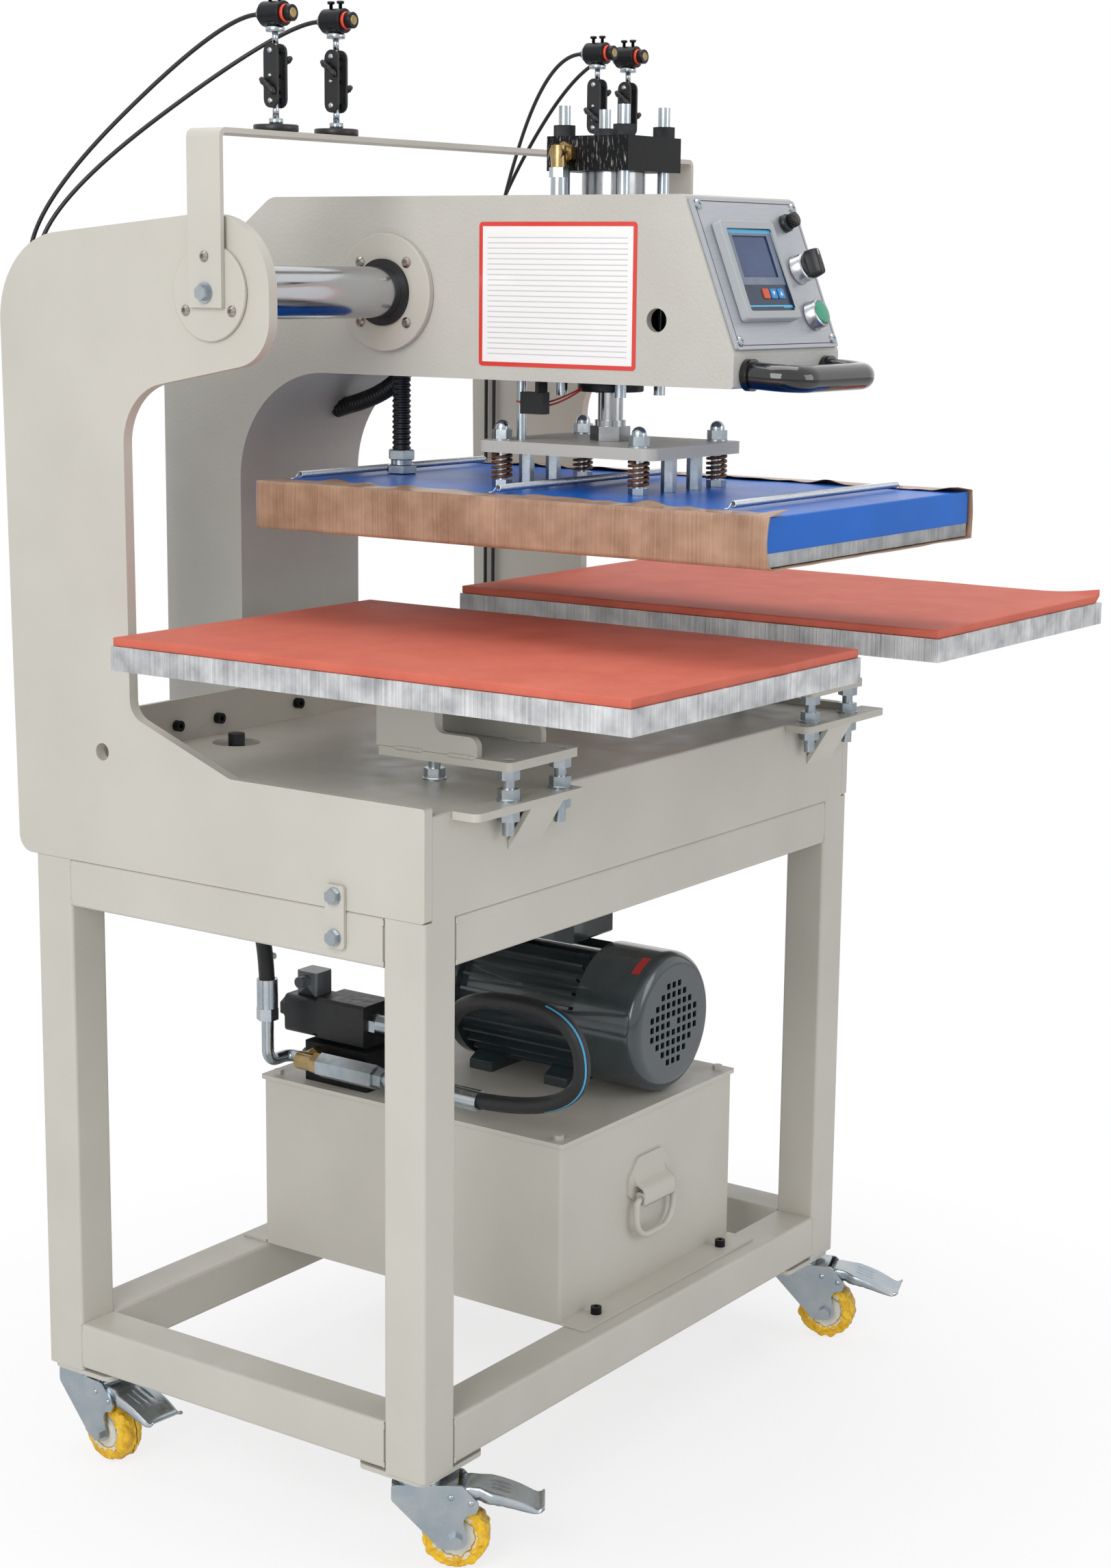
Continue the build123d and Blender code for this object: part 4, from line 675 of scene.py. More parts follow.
# Die springs under the pressure plate: flat brown wire with squared ends, four in all.
# The wire stands 3 mm high, in a brown enamel with random darker and lighter patches.
brown, tree, shader, place = new_finish("brown enamelled spring wire", "#5A3318", 0.4, 0.25)
two_tones(tree, shader, place, 6, "#4A2812", "#73482A")
die_coils = bmesh.new()
coil_low = 1063.8
coil_high = 1090.2
wire_high = 3.0
wire_wide = 3.4
turns = 5.5
spring_radius = 11.0
spring_in_x = 73.0
spring_in_y = 84.0
head_y = -211.0
for sx in (-1, 1):
    for sy in (-1, 1):
        rings = []
        steps = 140
        for step in range(steps + 1):
            share = step / steps
            turn = 2 * math.pi * turns * share
            rise = min(1.0, max(0.0, (share - 0.07) / 0.86))
            z = coil_low + wire_high / 2 + (coil_high - coil_low - wire_high) * rise
            ring = []
            for across_wire, up_wire in ((-1, -0.6), (-0.6, -1), (0.6, -1), (1, -0.6), (1, 0.6), (0.6, 1),
                                         (-0.6, 1), (-1, 0.6)):
                reach = spring_radius - wire_wide / 2 + across_wire * wire_wide / 2
                ring.append(die_coils.verts.new(at(head_x + sx * spring_in_x + reach * math.cos(turn),
                                                   head_y + sy * spring_in_y + reach * math.sin(turn),
                                                   z + up_wire * wire_high / 2)))
            rings.append(ring)
        join_rings(die_coils, rings)
        die_coils.faces.new(rings[0][::-1])
        die_coils.faces.new(rings[-1])
bmesh.ops.recalc_face_normals(die_coils, faces=die_coils.faces)
die_coils = keep(die_coils, "die_coils", brown, "platen", smooth=False)
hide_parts("die_springs")

# Plain plate on the arm's side: a white vinyl sheet with a red edge and faint ruled lines.
# It is stuck flat, 190 by 142 mm, with rounded corners.
vinyl, tree, shader, place = new_finish("white vinyl with a red edge", "#F0F0EE", 0.3, coat=0.3)
flat = add(tree, "ShaderNodeSeparateXYZ", {0: place})
arm_side_x = -136.1
sheet_y, sheet_z = -212.5, 1250.0
sheet_half_y, sheet_half_z = 91.0, 67.2
corner_round = 4.0
red_from_y, red_from_z = 0.0905, 0.0668
ruled_to_y, ruled_to_z = 0.0845, 0.0600
rule_pitch, rule_wide = 0.0052, 0.0011
middle = at(arm_side_x, sheet_y, sheet_z)
off_y = maths(tree, "ADD", flat.outputs[1], -middle.y)
off_z = maths(tree, "ADD", flat.outputs[2], -middle.z)
off_y = maths(tree, "ABSOLUTE", off_y)
off_z = maths(tree, "ABSOLUTE", off_z)
edge_y = maths(tree, "GREATER_THAN", off_y, red_from_y)
edge_z = maths(tree, "GREATER_THAN", off_z, red_from_z)
edge = maths(tree, "MAXIMUM", edge_y, edge_z)
rows_up = maths(tree, "MODULO", flat.outputs[2], rule_pitch)
ruled = maths(tree, "LESS_THAN", rows_up, rule_wide)
inset_y = maths(tree, "LESS_THAN", off_y, ruled_to_y)
inset_z = maths(tree, "LESS_THAN", off_z, ruled_to_z)
ruled = maths(tree, "MULTIPLY", ruled, inset_y)
ruled = maths(tree, "MULTIPLY", ruled, inset_z)
field = blend(tree, ruled, linear("#F2F2F0"), linear("#C9CACB"))
tree.links.new(blend(tree, edge, field, linear("#D93A30")), shader.inputs["Base Color"])
grain(tree, shader, place, 6.0, 0.02)
plate = bmesh.new()
corners = []
for corner_y, corner_z, start in ((1, 1, 0), (-1, 1, 90), (-1, -1, 180), (1, -1, 270)):
    for step in range(5):
        angle = math.radians(start + 22.5 * step)
        corners.append((sheet_y + corner_y * sheet_half_y + corner_round * math.cos(angle),
                        sheet_z + corner_z * sheet_half_z + corner_round * math.sin(angle)))
face = plate.faces.new([plate.verts.new(at(arm_side_x - 0.12, y, z)) for y, z in corners])
made = bmesh.ops.extrude_face_region(plate, geom=[face])["geom"]
for vert in made:
    if isinstance(vert, bmesh.types.BMVert):
        vert.co.x -= 0.0003
bmesh.ops.recalc_face_normals(plate, faces=plate.faces)
keep(plate, "side_plate_sheet", vinyl, "head", smooth=False)

# Printed and moulded detail on the control panel: a border line, the display's surround and key marks.
# Each is a thin printed or moulded layer on the brushed plate or on the controller's stepped face.


def on_face(a, b, c):
    place = panel_corner + Vector((a, 0, 0)) + slope * b + outward * c
    return at(*place)


def layer(mesh, a0, a1, b0, b1, c0, c1, material_index=0):
    low = [mesh.verts.new(on_face(a, b, c0)) for a, b in ((a0, b0), (a1, b0), (a1, b1), (a0, b1))]
    top = [mesh.verts.new(on_face(a, b, c1)) for a, b in ((a0, b0), (a1, b0), (a1, b1), (a0, b1))]
    join_rings(mesh, [low, top], material_index=material_index)
    for cap in (low[::-1], top):
        mesh.faces.new(cap).material_index = material_index


slate, tree, shader, place = new_finish("slate grey membrane", "#6E7988", 0.32)
two_tones(tree, shader, place, 20, "#69748A", "#768090")
printed, tree, shader, place = new_finish("dark printed line", "#33363A", 0.5)
grain(tree, shader, place, 1.0, 0.01)
white_ink, tree, shader, place = new_finish("white key mark", "#E8EAEC", 0.4)
grain(tree, shader, place, 1.0, 0.01)
print_layer = bmesh.new()
wide = 201.0
high = 161.55
inset = 7.5
line_wide = 0.9
for a0, a1, b0, b1 in ((inset, wide - inset, inset, inset + line_wide),
                       (inset, wide - inset, high - inset - line_wide, high - inset),
                       (inset, inset + line_wide, inset, high - inset),
                       (wide - inset - line_wide, wide - inset, inset, high - inset)):
    layer(print_layer, a0, a1, b0, b1, 4.32, 4.42, 0)
face_c = 11.88
for a0, a1, b0, b1, tone_index in ((33.5, 116.5, 116.2, 118.6, 1), (33.5, 42.8, 66, 116.2, 1),
                                   (107.2, 116.5, 66, 116.2, 1), (42.8, 107.2, 66, 73.6, 1),
                                   (33.5, 116.5, 118.6, 122.3, 2), (33.5, 100, 43.6, 45.2, 2),
                                   (100, 116.5, 42.4, 45.2, 2)):
    layer(print_layer, a0, a1, b0, b1, face_c, face_c + 0.12, tone_index)
for index, tip in ((1, -1), (2, 1)):
    middle_a = 73 + 14 * index
    points = [(middle_a - 2.6, 56.8 - tip * 2.0), (middle_a + 2.6, 56.8 - tip * 2.0), (middle_a, 56.8 + tip * 2.4)]
    low = [print_layer.verts.new(on_face(a, b, 13.08)) for a, b in points]
    top = [print_layer.verts.new(on_face(a, b, 13.2)) for a, b in points]
    for corners in (low, top, (low[0], low[1], top[1], top[0]), (low[1], low[2], top[2], top[1]),
                    (low[2], low[0], top[0], top[2])):
        face = print_layer.faces.new(corners)
        face.material_index = 3
bmesh.ops.recalc_face_normals(print_layer, faces=print_layer.faces)
keep(print_layer, "panel_print", [printed, slate, stripe_blue, white_ink], "head",
     smooth=False)

# Weld beads: short stitched welds with the coat over them, on the pedestals and at the stand's corners.
# Each bead is a row of overlapping ripples about 3 mm wide, lying in the corner that it joins.


def bead(mesh, start, end, radius, seed):
    length = (end - start).length
    count = max(6, int(length / 0.0007))
    points = []
    sizes = []
    for index in range(count + 1):
        share = index / count
        point = start.lerp(end, share)
        shift = 0.25 * radius * noise_at(Vector((index * 0.21, seed, 0)))
        points.append(point + Vector((shift, shift * 0.5, shift)))
        ripple = 0.86 + 0.2 * abs(math.sin(index * 0.62 + seed))
        end_taper = min(1.0, 0.45 + 8 * min(share, 1 - share))
        sizes.append(radius * ripple * end_taper)
    tube(mesh, points, sizes, 9)


welds = bmesh.new()
count = 0
for foot_x in (-245.0, 335.0):
    for web_x, side in ((foot_x - 57.5, -1), (foot_x + 57.5, 1)):
        for y0, y1 in ((-240, -206), (-176, -140), (-228, -200)):
            count += 1
            place_x = web_x if count % 3 else web_x - side * 8
            bead(welds, at(place_x, y0, 812.2), at(place_x, y1, 812.2), 0.0024, count)
for sx in (-1, 1):
    for sy in (-1, 1):
        for z0, z1 in ((108, 158), (619, 669)):
            for share in (0.03, 0.84):
                count += 1
                zs = z0 + (z1 - z0) * share
                ze = zs + 6
                face_y = sy * 257.5
                face_x = sx * 404.0
                bead(welds, at(sx * 354, face_y, zs), at(sx * 354, face_y, ze), 0.0012, count)
                bead(welds, at(face_x, sy * 207.5, zs), at(face_x, sy * 207.5, ze), 0.0012, count + 50)
keep(welds, "weld_beads", cream, "stand")

# Small bought-in parts: the micro-switch's two red leads, a nylon tie and the motor's earth screw.
# The leads are thin tinned wire in PVC, and the tie is drawn round the riser hose.
red_pvc, tree, shader, place = new_finish("red PVC wire", "#B3221C", 0.4)
grain(tree, shader, place, 0.8, 0.02)
wires = bmesh.new()
for shift in (0.0, 4.0):
    route = bezier(at(-105, -146 + shift, 1143), at(-90, -170 + shift, 1128 + shift),
                   at(-70, -190, 1150 + shift), at(-60 + shift, -205, 1163), 24)
    tube(wires, route, 0.0009, 8)
keep(wires, "switch_wires", red_pvc, "head")
tie, tree, shader, place = new_finish("natural nylon tie", "#C9C8C2", 0.4)
grain(tree, shader, place, 0.9, 0.02)
riser_x, riser_y = -110.0, 198.0
tie_radius = 10.2
bands = bmesh.new()
for height in (505.0, 506.0, 507.0, 508.0):
    ring = [at(riser_x + tie_radius * math.cos(math.pi * step / 12),
               riser_y + tie_radius * math.sin(math.pi * step / 12), height) for step in range(25)]
    tube(bands, ring, 0.0007, 6)
keep(bands, "hose_tie", tie, "stand")
fixings = bmesh.new()
hexagon(fixings, at(110, -20, 522.5), Vector((0, 0, 1)), 0.009, 0.006, 0)
tube(fixings, [at(110, -20, 528), at(110, -20, 533)], 0.0022, 12, 0)
keep(fixings, "earth_screw", brass, "stand", smooth=False)

# Laser pointers on magnet feet: black turned heads on a two-plate clamp arm with wing screws.
# Stems, nuts and rings are bright zinc, the lens is brass, and an orange seal shows behind the nose.
orange_seal, tree, shader, place = new_finish("orange silicone seal", "#E2513A", 0.35)
grain(tree, shader, place, 1.5, 0.02)
head_black, tree, shader, place = new_finish("black anodised aluminium", "#15171A", 0.3, 0.5)
vary_rough(tree, shader, place, 5, 0.22, 0.38)
grain(tree, shader, place, 0.8, 0.01)


def turned(mesh, start, direction, profile, sides=28, material_index=0):
    points = [start + direction * (level / 1000) for level, size in profile]
    tube(mesh, points, [size / 1000 for level, size in profile], sides, material_index)


def link_plate(mesh, x0, x1, y, z0, z1, half):
    corners = [(y + half * math.cos(math.pi * step / 8), z1 + half * math.sin(math.pi * step / 8))
               for step in range(9)]
    corners += [(y - half * math.cos(math.pi * step / 8), z0 - half * math.sin(math.pi * step / 8))
                for step in range(9)]
    low = [mesh.verts.new(at(x0, cy, cz)) for cy, cz in corners]
    top = [mesh.verts.new(at(x1, cy, cz)) for cy, cz in corners]
    mesh.faces.new(low[::-1])
    mesh.faces.new(top)
    join_rings(mesh, [low, top])


stands = bmesh.new()
back = Vector((0, 1, 0))
left = Vector((-1, 0, 0))
for index, laser_x in enumerate(laser_xs):
    swap = index % 2
    turned(stands, at(laser_x, 0, 1403.2), up, [(0, 21.2), (0.8, 22), (6, 22), (6.8, 21.2)], 40)
    hexagon(stands, at(laser_x, 0, 1410), up, 0.013, 0.006, 1)
    turned(stands, at(laser_x, 0, 1416), up, [(0, 3.2), (16, 3.2)], 16, 1)
    for x0, x1 in ((laser_x - 8, laser_x - 5), (laser_x + 5, laser_x + 8)):
        link_plate(stands, x0, x1, 0, 1434, 1478, 8.4)
    for z in (1432.5, 1479.5):
        turned(stands, at(laser_x + 7.9, 0, z), left, [(0, 3.0), (16.4, 3.0), (17.4, 2.0)], 14, 1)
    for z in (1441 + 28 * swap, 1456):
        turned(stands, at(laser_x + 7.9, 0, z), left, [(0, 1.9), (17.0, 1.9), (17.6, 1.2)], 12, 1)
    for side, z, lean in ((-1, 1446 + 22 * swap, 0.7), (1, 1468 - 22 * swap, -0.5)):
        way = Vector((side, 0, 0))
        turned(stands, at(laser_x + side * 8, 0, z), way, [(0, 3.6), (6, 3.6), (7, 2.8)], 16)
        wing = Vector((0, math.cos(lean), math.sin(lean)))
        middle = at(laser_x + side * 12, 0, z)
        tube(stands, [middle - wing * 0.011, middle - wing * 0.007, middle, middle + wing * 0.007,
                      middle + wing * 0.011], [0.0022, 0.0036, 0.0024, 0.0036, 0.0022], 10)
    turned(stands, at(laser_x, 0, 1486), up, [(0, 3.0), (12, 3.0)], 16, 1)
    turned(stands, at(laser_x, 0, 1497), up, [(0, 8.6), (0.5, 9.2), (4.5, 9.2), (5, 8.6)], 30, 1)
    turned(stands, at(laser_x, 0, 1502), up, [(0, 8.2), (2, 9.6), (4, 9.6)], 24, 2)
    turned(stands, at(laser_x, -12.5, laser_z), back, [(0, 11.2), (0.8, 12), (25.2, 12), (26, 11.2)], 36, 2)
    turned(stands, at(laser_x, -16, laser_z), back, [(0, 8.6), (3.6, 8.6)], 28, 3)
    turned(stands, at(laser_x, -23, laser_z), back, [(0, 7.4), (0.6, 8), (6.6, 8), (7.2, 7.2)], 28, 2)
    turned(stands, at(laser_x, -23.4, laser_z), back, [(0, 4.2), (0.3, 4.8), (0.6, 4.8)], 24, 4)
    turned(stands, at(laser_x, 13.4, laser_z), back, [(0, 8), (4, 8), (4.5, 6.5)], 24, 1)
    turned(stands, at(laser_x, 17.8, laser_z), back, [(0, 4.4), (5.4, 3.0)], 16)
    for off in (-6, 6):
        turned(stands, at(laser_x, off, 1525), up, [(0, 1.8), (5, 1.8), (5.2, 3.4), (7.4, 4.0), (8, 3.2)], 14, 2)
stands = keep(stands, "pointer_stands", [black_nylon, zinc, head_black, orange_seal, brass], "stand")
for face in stands.data.polygons:
    face.use_smooth = face.area < 0.00004
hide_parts("laser_pointers")

# Panel switches: a chromed bezel round the start button and the selector, and a ribbed black fuse cap.
# The bezels stand 12 mm off the panel on a threaded collar, and the selector's head is a tapered blade.
bezel_silver, tree, shader, place = new_finish("satin chromed bezel", "#B2B4B7", 0.3, 1.0)
vary_rough(tree, shader, place, 8, 0.26, 0.36)
green, tree, shader, place = new_finish("polished green button", "#0F9470", 0.25, coat=0.3)
grain(tree, shader, place, 4.0, 0.02)
switch_a = 162.0
button_b = 35.54
selector_b = 84.01
fuse_a = 164.0
fuse_b = 132.47
panel_top = 4.35
fuse_ribs = 18
rib_circle = 6.5
switch_rings = bmesh.new()
for b in (button_b, selector_b):
    turned(switch_rings, on_face(switch_a, b, panel_top), outward,
           [(0, 14.6), (0.6, 15.2), (1.6, 15.2), (2.0, 14.4), (11.0, 14.4), (12.4, 13.5), (12.4, 12.9), (9.0, 12.7)],
           56)
turned(switch_rings, on_face(fuse_a, fuse_b, panel_top), outward,
       [(0, 8.6), (0.4, 9.0), (5.0, 9.0), (5.6, 8.4), (5.7, 7.2), (7.0, 7.2)], 44, 1)
for step in range(fuse_ribs):
    turn = 2 * math.pi * step / fuse_ribs
    start = on_face(fuse_a + rib_circle * math.cos(turn), fuse_b + rib_circle * math.sin(turn), 11.0)
    turned(switch_rings, start, outward, [(0, 1.0), (8.0, 0.9), (9.0, 0.4)], 8, 1)
turned(switch_rings, on_face(fuse_a, fuse_b, 10.6), outward, [(0, 6.6), (9.0, 6.4), (10.0, 5.6)], 36, 1)
switch_rings = keep(switch_rings, "switch_rings", [bezel_silver, black_nylon], "head")
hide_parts("switch_bezels")
push = bmesh.new()
turned(push, on_face(switch_a, button_b, 5.0), outward,
       [(0, 11.0), (9.5, 11.0), (9.6, 12.3), (11.4, 12.3), (11.9, 11.9)], 56, 1)
turned(push, on_face(switch_a, button_b, 15.5), outward, [(0, 11.4), (1.6, 11.4), (2.3, 10.9), (2.6, 9.6)], 56)
push = keep(push, "push_button", [green, black_nylon], "button")
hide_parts("start_button")
lever = bmesh.new()
turned(lever, on_face(switch_a, selector_b, 5.0), outward,
       [(0, 7.6), (9.0, 7.6), (9.1, 12.2), (13.4, 12.2), (14.4, 11.4)], 56)
blade = []
for c, half_long, half_thick in ((18.0, 12.4, 6.2), (19.6, 14.2, 5.6), (26.0, 14.0, 5.0), (31.0, 13.2, 4.6),
                                 (32.4, 12.2, 3.8)):
    ring = []
    for step in range(40):
        turn = 2 * math.pi * step / 40
        wide = math.copysign(abs(math.cos(turn)) ** 0.45, math.cos(turn)) * half_thick
        tall = math.copysign(abs(math.sin(turn)) ** 0.45, math.sin(turn)) * half_long
        ring.append(lever.verts.new(on_face(switch_a + wide, selector_b + tall, c)))
    blade.append(ring)
join_rings(lever, blade)
lever.faces.new(blade[0][::-1])
lever.faces.new(blade[-1])
layer(lever, switch_a - 0.6, switch_a + 0.6, 90, 95.4, 32.3, 32.55, 1)
bmesh.ops.recalc_face_normals(lever, faces=lever.faces)
lever = keep(lever, "selector_lever", [black_nylon, white_ink], "selector")
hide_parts("selector_knob")

# Tank handle's stamped cover and the plain red plate on the fan cowl.
# The cover is 2 mm sheet bent over the bail's pins and spot-welded to a backing plate under the same coat.
handle_x = 70.0
handle_z = 262.0
cover_half = 31.0
cover = bmesh.new()
profile = [(-205.0, 44), (-207.2, 44), (-207.6, 42), (-208.4, 22), (-212, 17.5), (-219, 14), (-222.2, 10),
           (-222.6, -4), (-221.0, -7), (-220.6, -4), (-220.2, 9), (-218, 12), (-211, 15.4), (-208.2, 14)]
rings = []
for step in range(25):
    share = -1 + step / 12
    arch = math.sqrt(max(0.0, 1 - (0.92 * share) ** 2))
    ring = []
    for y, z in profile:
        tall = z if z < 30 else 20 + (z - 20) * arch
        ring.append(cover.verts.new(at(handle_x + share * cover_half, y, handle_z + tall)))
    rings.append(ring)
join_rings(cover, rings)
cover.faces.new(rings[0][::-1])
cover.faces.new(rings[-1])
bmesh.ops.recalc_face_normals(cover, faces=cover.faces)
cover = keep(cover, "handle_cover", cream, "stand")
for face in cover.data.polygons:
    face.use_smooth = abs(face.normal.x) < 0.5
red_plate, tree, shader, place = new_finish("red anodised plate", "#C42B2E", 0.35, coat=0.3)
grain(tree, shader, place, 3.0, 0.01)
cowl_x = 125.0
cowl_z = 444.0
tag = bmesh.new()
rows = []
for step in range(13):
    turn = math.radians(128 - 20 * step / 12)
    rows.append([tag.verts.new(at(cowl_x + reach * math.cos(turn), y, cowl_z + reach * math.sin(turn)))
                 for reach, y in ((80.12, -184.5), (80.12, -174.5), (80.45, -174.5), (80.45, -184.5))])
join_rings(tag, rows)
tag.faces.new(rows[0][::-1])
tag.faces.new(rows[-1])
bmesh.ops.recalc_face_normals(tag, faces=tag.faces)
keep(tag, "cowl_plate", red_plate, "stand", smooth=False)

# Caster wheels: a white nylon hub, and a tyre still wrapped in crumpled yellow film with a dark seam.
# The film is taped over the tyre, so it lies in flat facets with sharp creases and a torn inner edge.
nylon, tree, shader, place = new_finish("white nylon hub", "#DAD7CC", 0.45)
grain(tree, shader, place, 2.0, 0.03)
film, tree, shader, place = new_finish("creased yellow film", "#E0A800", 0.3, coat=0.3)
two_tones(tree, shader, place, 14, "#DFA600", "#F6C604")
crease = add(tree, "ShaderNodeTexVoronoi", {"Vector": place, "Scale": 75.0}, feature="DISTANCE_TO_EDGE")
folds = add(tree, "ShaderNodeTexNoise", {"Vector": place, "Scale": 120.0, "Detail": 4.0})
both = maths(tree, "ADD", crease.outputs[0], folds.outputs[0])
relief(tree, shader, both, 1.0, 0.004)
seam_dark, tree, shader, place = new_finish("dark film seam", "#6B4A08", 0.5)
grain(tree, shader, place, 2.0, 0.05)
corners = {"front_left": (-1, -1, -55.0), "front_right": (1, -1, -70.0), "back_left": (-1, 1, -95.0),
           "back_right": (1, 1, -75.0)}


def caster_axes(turned_by):
    angle = math.radians(turned_by)
    return Vector((math.cos(angle), math.sin(angle), 0)), Vector((-math.sin(angle), math.cos(angle), 0))


for seed, (corner, (_, _, turned_by)) in enumerate(corners.items()):
    low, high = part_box("caster_wheel_" + corner)
    centre = (Vector(low) + Vector(high)) / 2
    ahead, axle = caster_axes(turned_by)
    wheel = bmesh.new()
    rows = []
    around = 132
    profile = []
    for first, second in (((-14.2, 20), (-15, 26)), ((-15, 26), (-14, 32.5)), ((-14, 32.5), (-9, 35.6)),
                          ((-9, 35.6), (0, 36)), ((0, 36), (9, 35.6)), ((9, 35.6), (14, 32.5)),
                          ((14, 32.5), (15, 26)), ((15, 26), (14.2, 20))):
        steps = 5 if abs(first[1] - second[1]) > 2 else 6
        profile += [(first[0] + (second[0] - first[0]) * step / steps,
                     first[1] + (second[1] - first[1]) * step / steps) for step in range(steps)]
    profile.append((14.2, 20))
    for step in range(around):
        turn = 2 * math.pi * step / around
        ring = []
        for index, (off, reach) in enumerate(profile):
            spot = Vector((math.cos(turn) * reach, math.sin(turn) * reach, off)) / 12.0
            distances = voronoi_at(spot + Vector((seed * 7.3, 0, 0)))[0]
            crease = min(1.0, (distances[1] - distances[0]) * 1.7)
            dent = (1 - crease) * 2.2 + 1.3 * (noise_at(spot * 2.3 + Vector((0, seed, 0))) + 0.5)
            share = min(1.0, (reach - 19) / 6) if index in (0, len(profile) - 1) else 1.0
            size = reach - dent * share
            if index in (0, len(profile) - 1):
                size = 21.5 + 2.2 * noise_at(Vector((turn * 2.2, seed, off)))
            shift = off - math.copysign(0.6 * dent, off) if reach < 33 else off
            ring.append(wheel.verts.new(centre + (ahead * math.cos(turn) + up * math.sin(turn)) * (size / 1000)
                                        + axle * (shift / 1000)))
        rows.append(ring)
    middle = (len(profile) - 1) // 2
    for step in range(around):
        after = rows[(step + 1) % around]
        for index in range(len(profile) - 1):
            face = wheel.faces.new((rows[step][index], rows[step][index + 1], after[index + 1], after[index]))
            face.material_index = 1 if index == middle + 2 else 0
    for way in (-1, 1):
        points = [(2, 5.0), (13.6, 5.0), (14.2, 6.0), (14.2, 10.6), (13.4, 11.4), (12.0, 12.0), (12.0, 19.0),
                  (13.2, 20.0), (13.4, 24.5)]
        rings = []
        for off, reach in points:
            rings.append([wheel.verts.new(centre + (ahead * math.cos(2 * math.pi * step / 60)
                                                    + up * math.sin(2 * math.pi * step / 60)) * (reach / 1000)
                                          + axle * (way * off / 1000)) for step in range(60)])
        join_rings(wheel, rings, material_index=2)
    bmesh.ops.recalc_face_normals(wheel, faces=wheel.faces)
    wheel = keep(wheel, "film_wheel_" + corner, [film, seam_dark, nylon], "wheel_" + corner)
    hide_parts("caster_wheel_" + corner)

# Brake pedals and fork rivets: a stamped zinc tread with side flanges, three pressed ribs and a curled tip.
# The pedal is 2 mm sheet, narrow between the fork's cheeks and wider beyond them.
tread_line = ((43, 90.3, 17.0, 11), (52, 91.2, 17.0, 12), (62, 90.2, 17.0, 12), (67, 88.8, 20.0, 12),
              (72, 87.6, 22.6, 11), (76, 86.6, 23, 10), (80, 85.4, 23, 10), (84, 84.4, 23, 9),
              (88, 83.0, 23, 9), (95, 80.6, 23, 8), (102, 77.6, 23, 7), (109, 74.2, 22.6, 5.5),
              (115, 71.2, 22.2, 4), (119, 70.0, 22, 3), (122.5, 70.8, 21.6, 2.4), (125.5, 73.4, 21, 2))
for corner, (side_x, side_y, turned_by) in corners.items():
    ahead, axle = caster_axes(turned_by)
    pivot = at(side_x * 374.0, side_y * 227.5, 0)
    pedal = bmesh.new()
    rows = []
    for reach, height, half, skirt in tread_line:
        ring = []
        section = [(-1, -skirt), (-1, -skirt * 0.5), (-1, -2.2), (-0.97, -0.8), (-0.9, -0.1)]
        section += [(share / 14, 0.0) for share in range(-12, 13)]
        section += [(0.9, -0.1), (0.97, -0.8), (1, -2.2), (1, -skirt * 0.5), (1, -skirt)]
        for share, drop in section:
            pressed = 0.0
            if 74 < reach < 90 and drop == 0.0:
                pressed = -1.3 * max(0.0, 1 - abs(share) / 0.1, 1 - abs(abs(share) - 0.36) / 0.1)
            ring.append(pedal.verts.new(pivot + ahead * (reach / 1000) + axle * (half * share / 1000)
                                        + up * ((height + drop + pressed) / 1000)))
        rows.append(ring)
    join_rings(pedal, rows, closed=False)
    bmesh.ops.recalc_face_normals(pedal, faces=pedal.faces)
    pedal = keep(pedal, "brake_tread_" + corner, zinc, "brake_" + corner)
    sheet_steel = pedal.modifiers.new("sheet", "SOLIDIFY")
    sheet_steel.thickness = 0.0018
    sheet_steel.offset = 0.0
    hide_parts("caster_brake_" + corner)
    rivets = bmesh.new()
    for reach, height in ((33, 82), (53, 76)):
        for way in (-1, 1):
            start = pivot + ahead * (reach / 1000) + axle * (way * 0.0204) + up * (height / 1000)
            turned(rivets, start, axle * way, [(0, 3.2), (0.9, 3.0), (1.6, 2.0), (1.9, 0.8)], 16)
    keep(rivets, "fork_rivets_" + corner, zinc, "caster_" + corner)

# Floor, light and camera: a pale floor, soft boxes either side and above, and the photograph's view.
# The floor fades to the camera's white away from the machine, and keeps its soft shadow underneath.
floor_mat, tree, shader, place = new_finish("pale studio floor", "#F2F2F2", 0.7)
path = add(tree, "ShaderNodeLightPath")
seen = add(tree, "ShaderNodeEmission", {"Color": (1, 1, 1, 1), "Strength": 1.0})
reach = add(tree, "ShaderNodeVectorMath", {0: place}, operation="LENGTH")
fade = add(tree, "ShaderNodeMapRange", {"Value": reach.outputs["Value"], "From Min": 0.3, "From Max": 0.95,
                                        "To Min": 0.72, "To Max": 1.0})
shade = add(tree, "ShaderNodeMixShader", {0: fade.outputs[0], 1: shader.outputs[0], 2: seen.outputs[0]})
plain = add(tree, "ShaderNodeMixShader", {0: path.outputs["Is Camera Ray"], 1: shader.outputs[0],
                                          2: shade.outputs[0]})
tree.links.new(plain.outputs[0], tree.nodes["Material Output"].inputs[0])
sheet_mesh = bmesh.new()
bmesh.ops.create_grid(sheet_mesh, x_segments=2, y_segments=2, size=14.0)
floor_data = bpy.data.meshes.new("studio_floor")
sheet_mesh.to_mesh(floor_data)
sheet_mesh.free()
floor = bpy.data.objects.new("studio_floor", floor_data)
bpy.context.collection.objects.link(floor)
floor.data.materials.append(floor_mat)

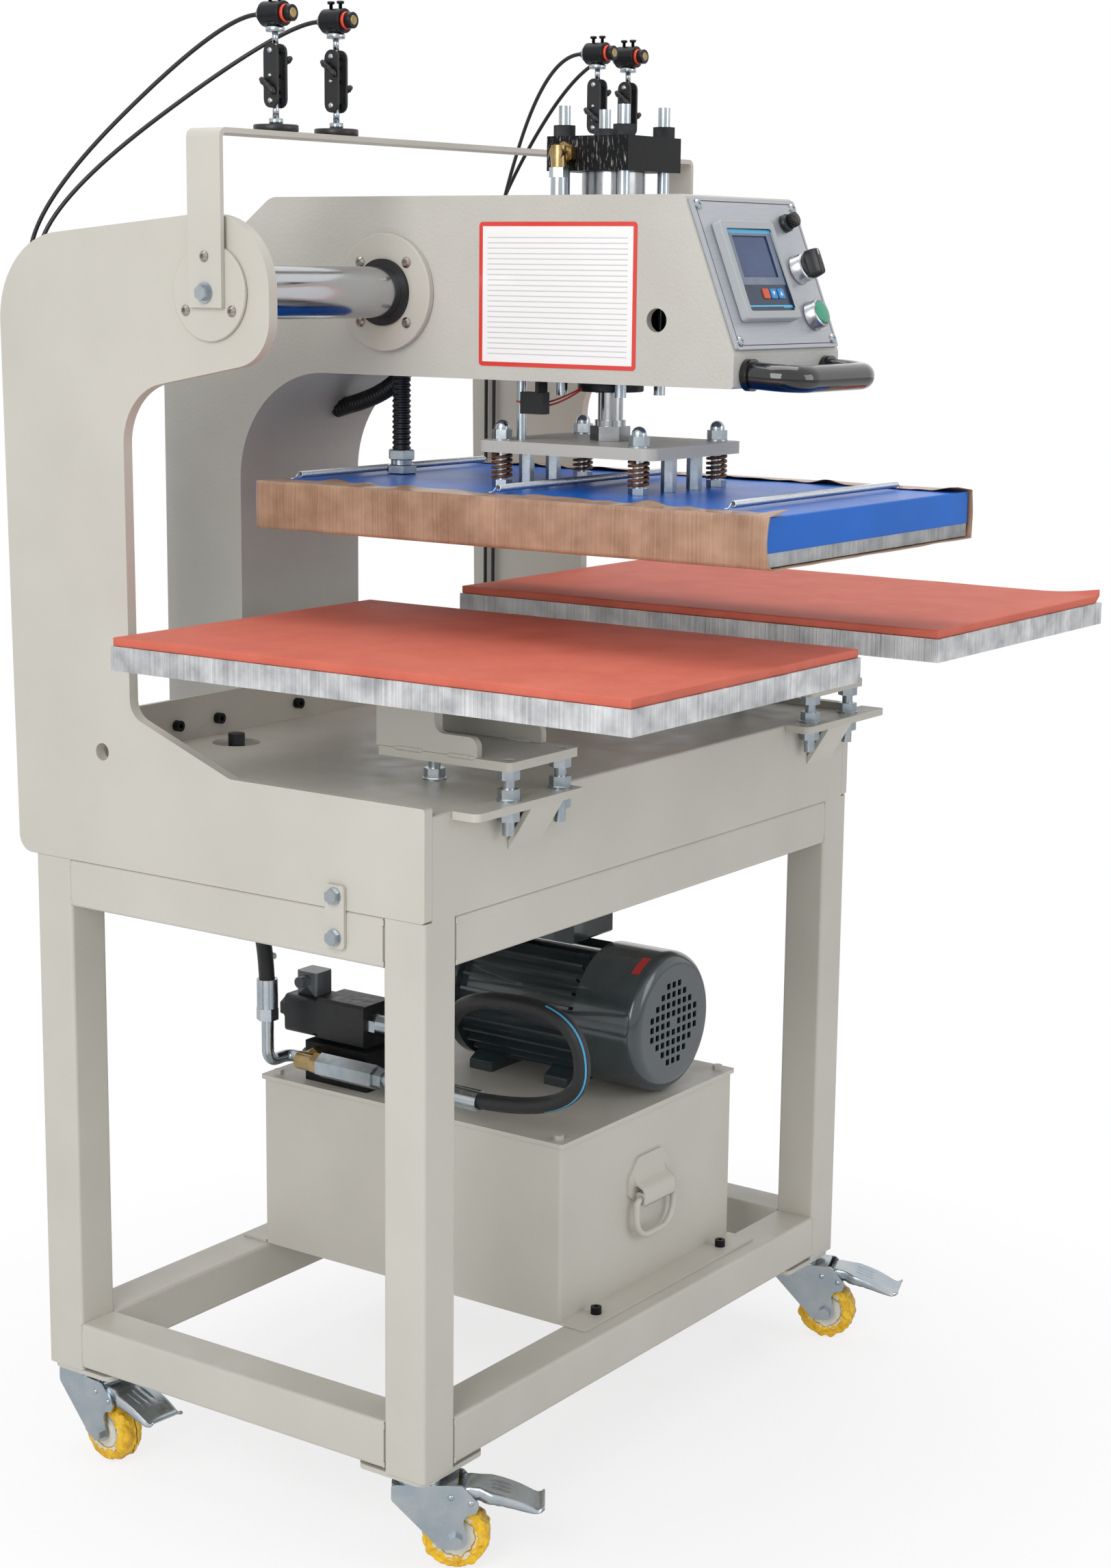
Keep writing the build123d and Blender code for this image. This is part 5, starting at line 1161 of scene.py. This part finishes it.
world = bpy.data.worlds.new("studio")
bpy.context.scene.world = world
world.use_nodes = True
tree = world.node_tree
tree.nodes.clear()
path = add(tree, "ShaderNodeLightPath")
soft = add(tree, "ShaderNodeBackground", {"Color": (0.95, 0.97, 1.0, 1), "Strength": 0.55})
white = add(tree, "ShaderNodeBackground", {"Color": (1, 1, 1, 1), "Strength": 1.0})
shown = maths(tree, "MAXIMUM", path.outputs["Is Camera Ray"], path.outputs["Is Glossy Ray"])
shown = maths(tree, "MAXIMUM", shown, path.outputs["Is Transmission Ray"])
choose = add(tree, "ShaderNodeMixShader", {0: shown, 1: soft.outputs[0], 2: white.outputs[0]})
add(tree, "ShaderNodeOutputWorld", {0: choose.outputs[0]})


def lamp(name, at, aim, size, power):
    data = bpy.data.lights.new(name, "AREA")
    data.shape = "RECTANGLE"
    data.size = size[0]
    data.size_y = size[1]
    data.energy = power
    made = bpy.data.objects.new(name, data)
    bpy.context.collection.objects.link(made)
    made.location = at
    made.rotation_euler = (Vector(aim) - Vector(at)).to_track_quat("-Z", "Y").to_euler()


lamp("left_box", (-3.2, -0.6, 2.2), (0, 0, 0.8), (1.8, 2.4), 62)
lamp("front_box", (0.8, -3.4, 1.9), (0, 0, 0.9), (1.6, 2.0), 24)
lamp("top_box", (0.2, 0.2, 3.6), (0, 0, 0.8), (2.4, 2.0), 34)

yaw = math.radians(35.12104)
pitch = math.radians(10.93625)
roll = math.radians(-0.61022)
ahead = Vector((math.cos(yaw) * math.cos(pitch), math.sin(yaw) * math.cos(pitch), -math.sin(pitch)))
right = Vector((math.sin(yaw), -math.cos(yaw), 0))
down = ahead.cross(right)
across = right * math.cos(roll) + down * math.sin(roll)
below = -right * math.sin(roll) + down * math.cos(roll)
eye = Vector((-2.3470, -1.6577, 1.2783))
turn = Matrix((across, -below, -ahead)).transposed().to_4x4()
camera_data = bpy.data.cameras.new("photo_camera")
camera_data.sensor_fit = "HORIZONTAL"
camera_data.sensor_width = 36.0
camera_data.lens = 3919.05 / 1624 * 36.0
camera = bpy.data.objects.new("photo_camera", camera_data)
bpy.context.collection.objects.link(camera)
camera.matrix_world = Matrix.Translation(eye) @ turn
bpy.context.scene.camera = camera
bpy.context.scene.view_settings.view_transform = "Standard"
